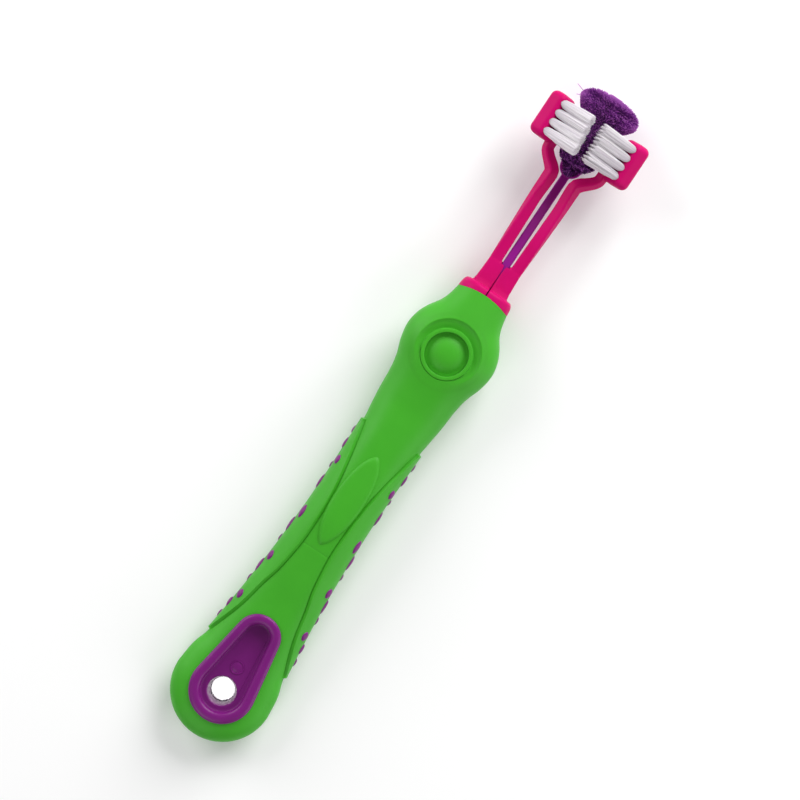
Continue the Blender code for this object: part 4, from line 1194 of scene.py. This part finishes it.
class TOOTHBRUSH_OT_grip_skin(bpy.types.Operator):
    """Build the soft green skin of the handle"""

    bl_idname = "toothbrush.grip_skin"
    bl_label = "Grip skin"

    def execute(self, context):
        handle = context.scene.toothbrush_handle
        rubber = soft_rubber("soft_green_rubber", handle)
        skin = join(build_skin_shell(handle), build_thumb_dish(handle), build_island(handle))
        finish_piece(skin, "soft_grip_skin", rubber, 40.0)
        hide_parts("grip_skin")
        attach(skin, "handle")
        return {"FINISHED"}


class TOOTHBRUSH_OT_hard_core(bpy.types.Operator):
    """Build the hard purple core, with its frame round the hanging hole and its side studs"""

    bl_idname = "toothbrush.hard_core"
    bl_label = "Hard core"

    def execute(self, context):
        handle = context.scene.toothbrush_handle
        # Injection-moulded polypropylene: waxy gloss with a slight unevenness.
        plastic = moulded_finish("purple_polypropylene_core", handle.core, handle.core_deep, 0.36, 0.5, 0.12, 0.05)
        core = join(build_drop_insert(handle), build_ejector_mark(), build_studs(handle), build_core_body(handle))
        finish_piece(core, "hard_handle_core", plastic, 40.0)
        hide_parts("handle_core")
        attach(core, "handle")
        return {"FINISHED"}


class TOOTHBRUSH_OT_thumb_dome(bpy.types.Operator):
    """Build the soft dome that the thumb presses"""

    bl_idname = "toothbrush.thumb_dome"
    bl_label = "Thumb dome"

    def execute(self, context):
        handle = context.scene.toothbrush_handle
        rubber = soft_rubber("soft_green_rubber_dome", handle)
        dome = finish_piece(build_dome(), "soft_thumb_dome", rubber, 45.0)
        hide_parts("thumb_button")
        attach(dome, "button")
        return {"FINISHED"}


class TOOTHBRUSH_OT_release_catch(bpy.types.Operator):
    """Give the hidden catch its finish"""

    bl_idname = "toothbrush.release_catch"
    bl_label = "Release catch"

    def execute(self, context):
        # Natural acetal: milky white, slippery and slightly glossy.
        white = linear("#E4E2DC")
        acetal = moulded_finish("white_acetal", white, linear("#DAD8D0"), 0.3, 0.4, 0.1, 0.1)
        catch = frame["nodes"]["release_catch"]
        catch.data.materials.clear()
        catch.data.materials.append(acetal)
        return {"FINISHED"}


class TOOTHBRUSH_OT_side_mouldings(bpy.types.Operator):
    """Build the two pink mouldings, each from its tang to its head"""

    bl_idname = "toothbrush.side_mouldings"
    bl_label = "Side mouldings"

    def execute(self, context):
        head = context.scene.toothbrush_head
        # Injection-moulded polypropylene: saturated and slightly see-through at its edges.
        plastic = moulded_finish("pink_polypropylene", head.pink, head.pink_deep, 0.42, 0.45, 0.15, 0.1, 0.06)
        right = build_right_moulding(head)
        left = right.copy()
        left.data = right.data.copy()
        bpy.context.scene.collection.objects.link(left)
        left.data.transform(Matrix.Diagonal((-1, 1, 1, 1)))
        close_and_turn_out(left)
        for moulding, name in ((right, "right"), (left, "left")):
            moulding.data.transform(HEAD_MATRIX)
            finish_piece(moulding, f"{name}_pink_moulding", plastic, 50.0)
            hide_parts(f"{name}_clip", f"{name}_arm")
            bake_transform(moulding)
        return {"FINISHED"}


class TOOTHBRUSH_OT_centre_moulding(bpy.types.Operator):
    """Build the purple moulding that carries the back head"""

    bl_idname = "toothbrush.centre_moulding"
    bl_label = "Centre moulding"

    def execute(self, context):
        head = context.scene.toothbrush_head
        plastic = moulded_finish("purple_polypropylene_arm", head.violet, head.violet_deep, 0.38, 0.45, 0.15, 0.1, 0.06)
        moulding = build_centre_moulding(head)
        moulding.data.transform(HEAD_MATRIX)
        finish_piece(moulding, "purple_centre_moulding", plastic, 50.0)
        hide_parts("centre_tang", "centre_arm")
        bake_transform(moulding)
        return {"FINISHED"}


class TOOTHBRUSH_OT_white_bristles(bpy.types.Operator):
    """Build the white bristles of both side heads"""

    bl_idname = "toothbrush.white_bristles"
    bl_label = "White bristles"

    def execute(self, context):
        head = context.scene.toothbrush_head
        # Natural nylon filaments: milky, with painted shade for the darker gaps between them, deepest at their roots.
        nylon = filament_finish("white_nylon", "#F3EFF2", "#E8E2E8", "#CFC6D0", 0.38)
        chance = random.Random(11)
        for side, name in ((1, "right"), (-1, "left")):
            for row in range(SIDE_ROWS):
                bristles = bristle_mesh(white_strands(side, row, head, chance))
                finish_piece(bristles, f"{name}_white_bristles_{row + 1}", nylon, 60.0)
                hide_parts(f"{name}_tufts_row_{row + 1}")
                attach(bristles, f"{name}_arm")
        return {"FINISHED"}


class TOOTHBRUSH_OT_purple_bristles(bpy.types.Operator):
    """Build the purple bristles of the back head"""

    bl_idname = "toothbrush.purple_bristles"
    bl_label = "Purple bristles"

    def execute(self, context):
        head = context.scene.toothbrush_head
        # Dyed nylon filaments, with painted light: strands run from almost black, a painted shade between filaments, to
        # pale, a painted highlight where light passes a filament.
        nylon = filament_finish("purple_nylon", "#CE74D6", "#701C86", "#22032C", 0.4, 0.15)
        chance = random.Random(23)
        for number, row in enumerate(centre_tufts(), start=1):
            bristles = bristle_mesh(purple_strands(number - 1, row, head, chance))
            finish_piece(bristles, f"purple_bristles_{number}", nylon, 60.0)
            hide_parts(f"centre_tufts_row_{number}")
            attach(bristles, "centre_arm")
        return {"FINISHED"}


class TOOTHBRUSH_OT_tuft_anchors(bpy.types.Operator):
    """Build the metal chips that hold the tufts"""

    bl_idname = "toothbrush.tuft_anchors"
    bl_label = "Tuft anchors"

    def execute(self, context):
        brass = brass_finish("stamped_brass", "#C9A35A")
        mirror = Vector((-1, 1, 1))
        groups = {
            "right": side_tufts(),
            "left": [(root * mirror, direction * mirror) for root, direction in side_tufts()],
            "centre": [tuft for row in centre_tufts() for tuft in row],
        }
        for name, placed in groups.items():
            anchors = finish_piece(build_anchors(placed), f"{name}_tuft_anchors", brass, 30.0)
            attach(anchors, f"{name}_arm")
        return {"FINISHED"}


class TOOTHBRUSH_OT_stage(bpy.types.Operator):
    """Set the floor, the lights and the camera"""

    bl_idname = "toothbrush.stage"
    bl_label = "Stage"

    def execute(self, context):
        build_floor()
        build_lights()
        build_hole_spot()
        build_camera()
        return {"FINISHED"}


# ---------------------------------------------------------------- stage

SOFTBOXES = [  # name, place and side in metres, and power in watts
    ("head_softbox", (0.1, 0.95, 0.5), 0.8, 14.0),
    ("left_softbox", (-0.9, 0.15, 0.45), 0.7, 6.0),
    ("right_softbox", (0.9, -0.1, 0.45), 0.7, 3.4),
    ("tail_softbox", (-0.1, -0.95, 0.7), 0.7, 3.2),
]
SURROUND_STRENGTH = 0.19
CAMERA_DISTANCE = 0.95
VIEW_WIDTH = 0.224  # metres across at the brush
VIEW_MIDDLE = Vector((-3.75 * MM, TAIL + DROP_PLACE + 95.5 * MM, 14 * MM))
VIEW_TURN = math.radians(33.75)


def build_floor():
    """A plain pale floor that the brush lies on."""
    floor = add_primitive(bpy.ops.mesh.primitive_plane_add, size=4.0, location=(0, 0, 0))
    floor.name = "floor"
    values = {"IOR": 1.5, "Base Color": (0.95, 0.95, 0.95, 1.0)}
    material, tree, shader = start_material("pale_floor", values)
    place = add_node(tree, "ShaderNodeTexCoord").outputs["Object"]
    noise = add_node(tree, "ShaderNodeTexNoise", {"Vector": place, "Scale": 6.0})
    gloss = add_node(tree, "ShaderNodeMapRange", {"Value": noise.outputs["Fac"], "To Min": 0.55, "To Max": 0.6})
    tree.links.new(gloss.outputs["Result"], shader.inputs["Roughness"])
    floor.data.materials.append(material)


def build_lights():
    """Soft studio light: low softboxes all round, the strongest beyond the head, and a dim pale surround."""
    for name, place, side, power in SOFTBOXES:
        data = bpy.data.lights.new(name, "AREA")
        data.energy, data.size = power, side
        aim = Vector((0.0, 0.0, 0.01)) - Vector(place)
        link_object(name, data, place).rotation_euler = aim.to_track_quat("-Z", "Y").to_euler()
    world = bpy.data.worlds.new("studio")
    world.use_nodes = True
    background = world.node_tree.nodes["Background"]
    background.inputs["Color"].default_value = (1.0, 1.0, 1.0, 1.0)
    background.inputs["Strength"].default_value = SURROUND_STRENGTH
    bpy.context.scene.world = world
    bpy.context.scene.view_settings.view_transform = "Standard"


def build_hole_spot():
    """A narrow beam from above that lights the floor under the hanging hole."""
    data = bpy.data.lights.new("hole_spot", "SPOT")
    data.energy, data.spot_size, data.spot_blend, data.shadow_soft_size = 8.0, math.radians(1.0), 0.1, 0.0004
    spot = link_object("hole_spot", data, (0.0, TAIL + HOLE_PLACE, 0.42))
    spot.visible_camera = False


def build_camera():
    """A long lens straight above the brush, turned so that the head points up and to the right."""
    data = bpy.data.cameras.new("camera")
    data.sensor_width = 36.0
    data.lens = data.sensor_width * CAMERA_DISTANCE / VIEW_WIDTH
    camera = link_object("camera", data, VIEW_MIDDLE + Vector((0, 0, CAMERA_DISTANCE)))
    camera.rotation_euler = (0.0, 0.0, VIEW_TURN)
    bpy.context.scene.camera = camera


# ---------------------------------------------------------------- panel and registration

OPERATORS = [
    TOOTHBRUSH_OT_stage,
    TOOTHBRUSH_OT_grip_skin,
    TOOTHBRUSH_OT_hard_core,
    TOOTHBRUSH_OT_thumb_dome,
    TOOTHBRUSH_OT_release_catch,
    TOOTHBRUSH_OT_side_mouldings,
    TOOTHBRUSH_OT_centre_moulding,
    TOOTHBRUSH_OT_white_bristles,
    TOOTHBRUSH_OT_purple_bristles,
    TOOTHBRUSH_OT_tuft_anchors,
]


class TOOTHBRUSH_PT_panel(bpy.types.Panel):
    """Lists the toothbrush's settings and the operators that build it"""

    bl_label = "Pet toothbrush"
    bl_space_type = "VIEW_3D"
    bl_region_type = "UI"
    bl_category = "Toothbrush"

    def draw(self, context):
        for group in (context.scene.toothbrush_handle, context.scene.toothbrush_head):
            box_layout = self.layout.box()
            for name in group.__annotations__:
                box_layout.prop(group, name)
        for operator in OPERATORS:
            self.layout.operator(operator.bl_idname)


CLASSES = [HandleSettings, HeadSettings, *OPERATORS, TOOTHBRUSH_PT_panel]


def register():
    for cls in CLASSES:
        bpy.utils.register_class(cls)
    bpy.types.Scene.toothbrush_handle = bpy.props.PointerProperty(type=HandleSettings)
    bpy.types.Scene.toothbrush_head = bpy.props.PointerProperty(type=HeadSettings)


def unregister():
    del bpy.types.Scene.toothbrush_handle
    del bpy.types.Scene.toothbrush_head
    for cls in reversed(CLASSES):
        bpy.utils.unregister_class(cls)


def main():
    register()
    for operator in OPERATORS:
        group, name = operator.bl_idname.split(".")
        getattr(getattr(bpy.ops, group), name)()


if __name__ == "__main__":
    main()
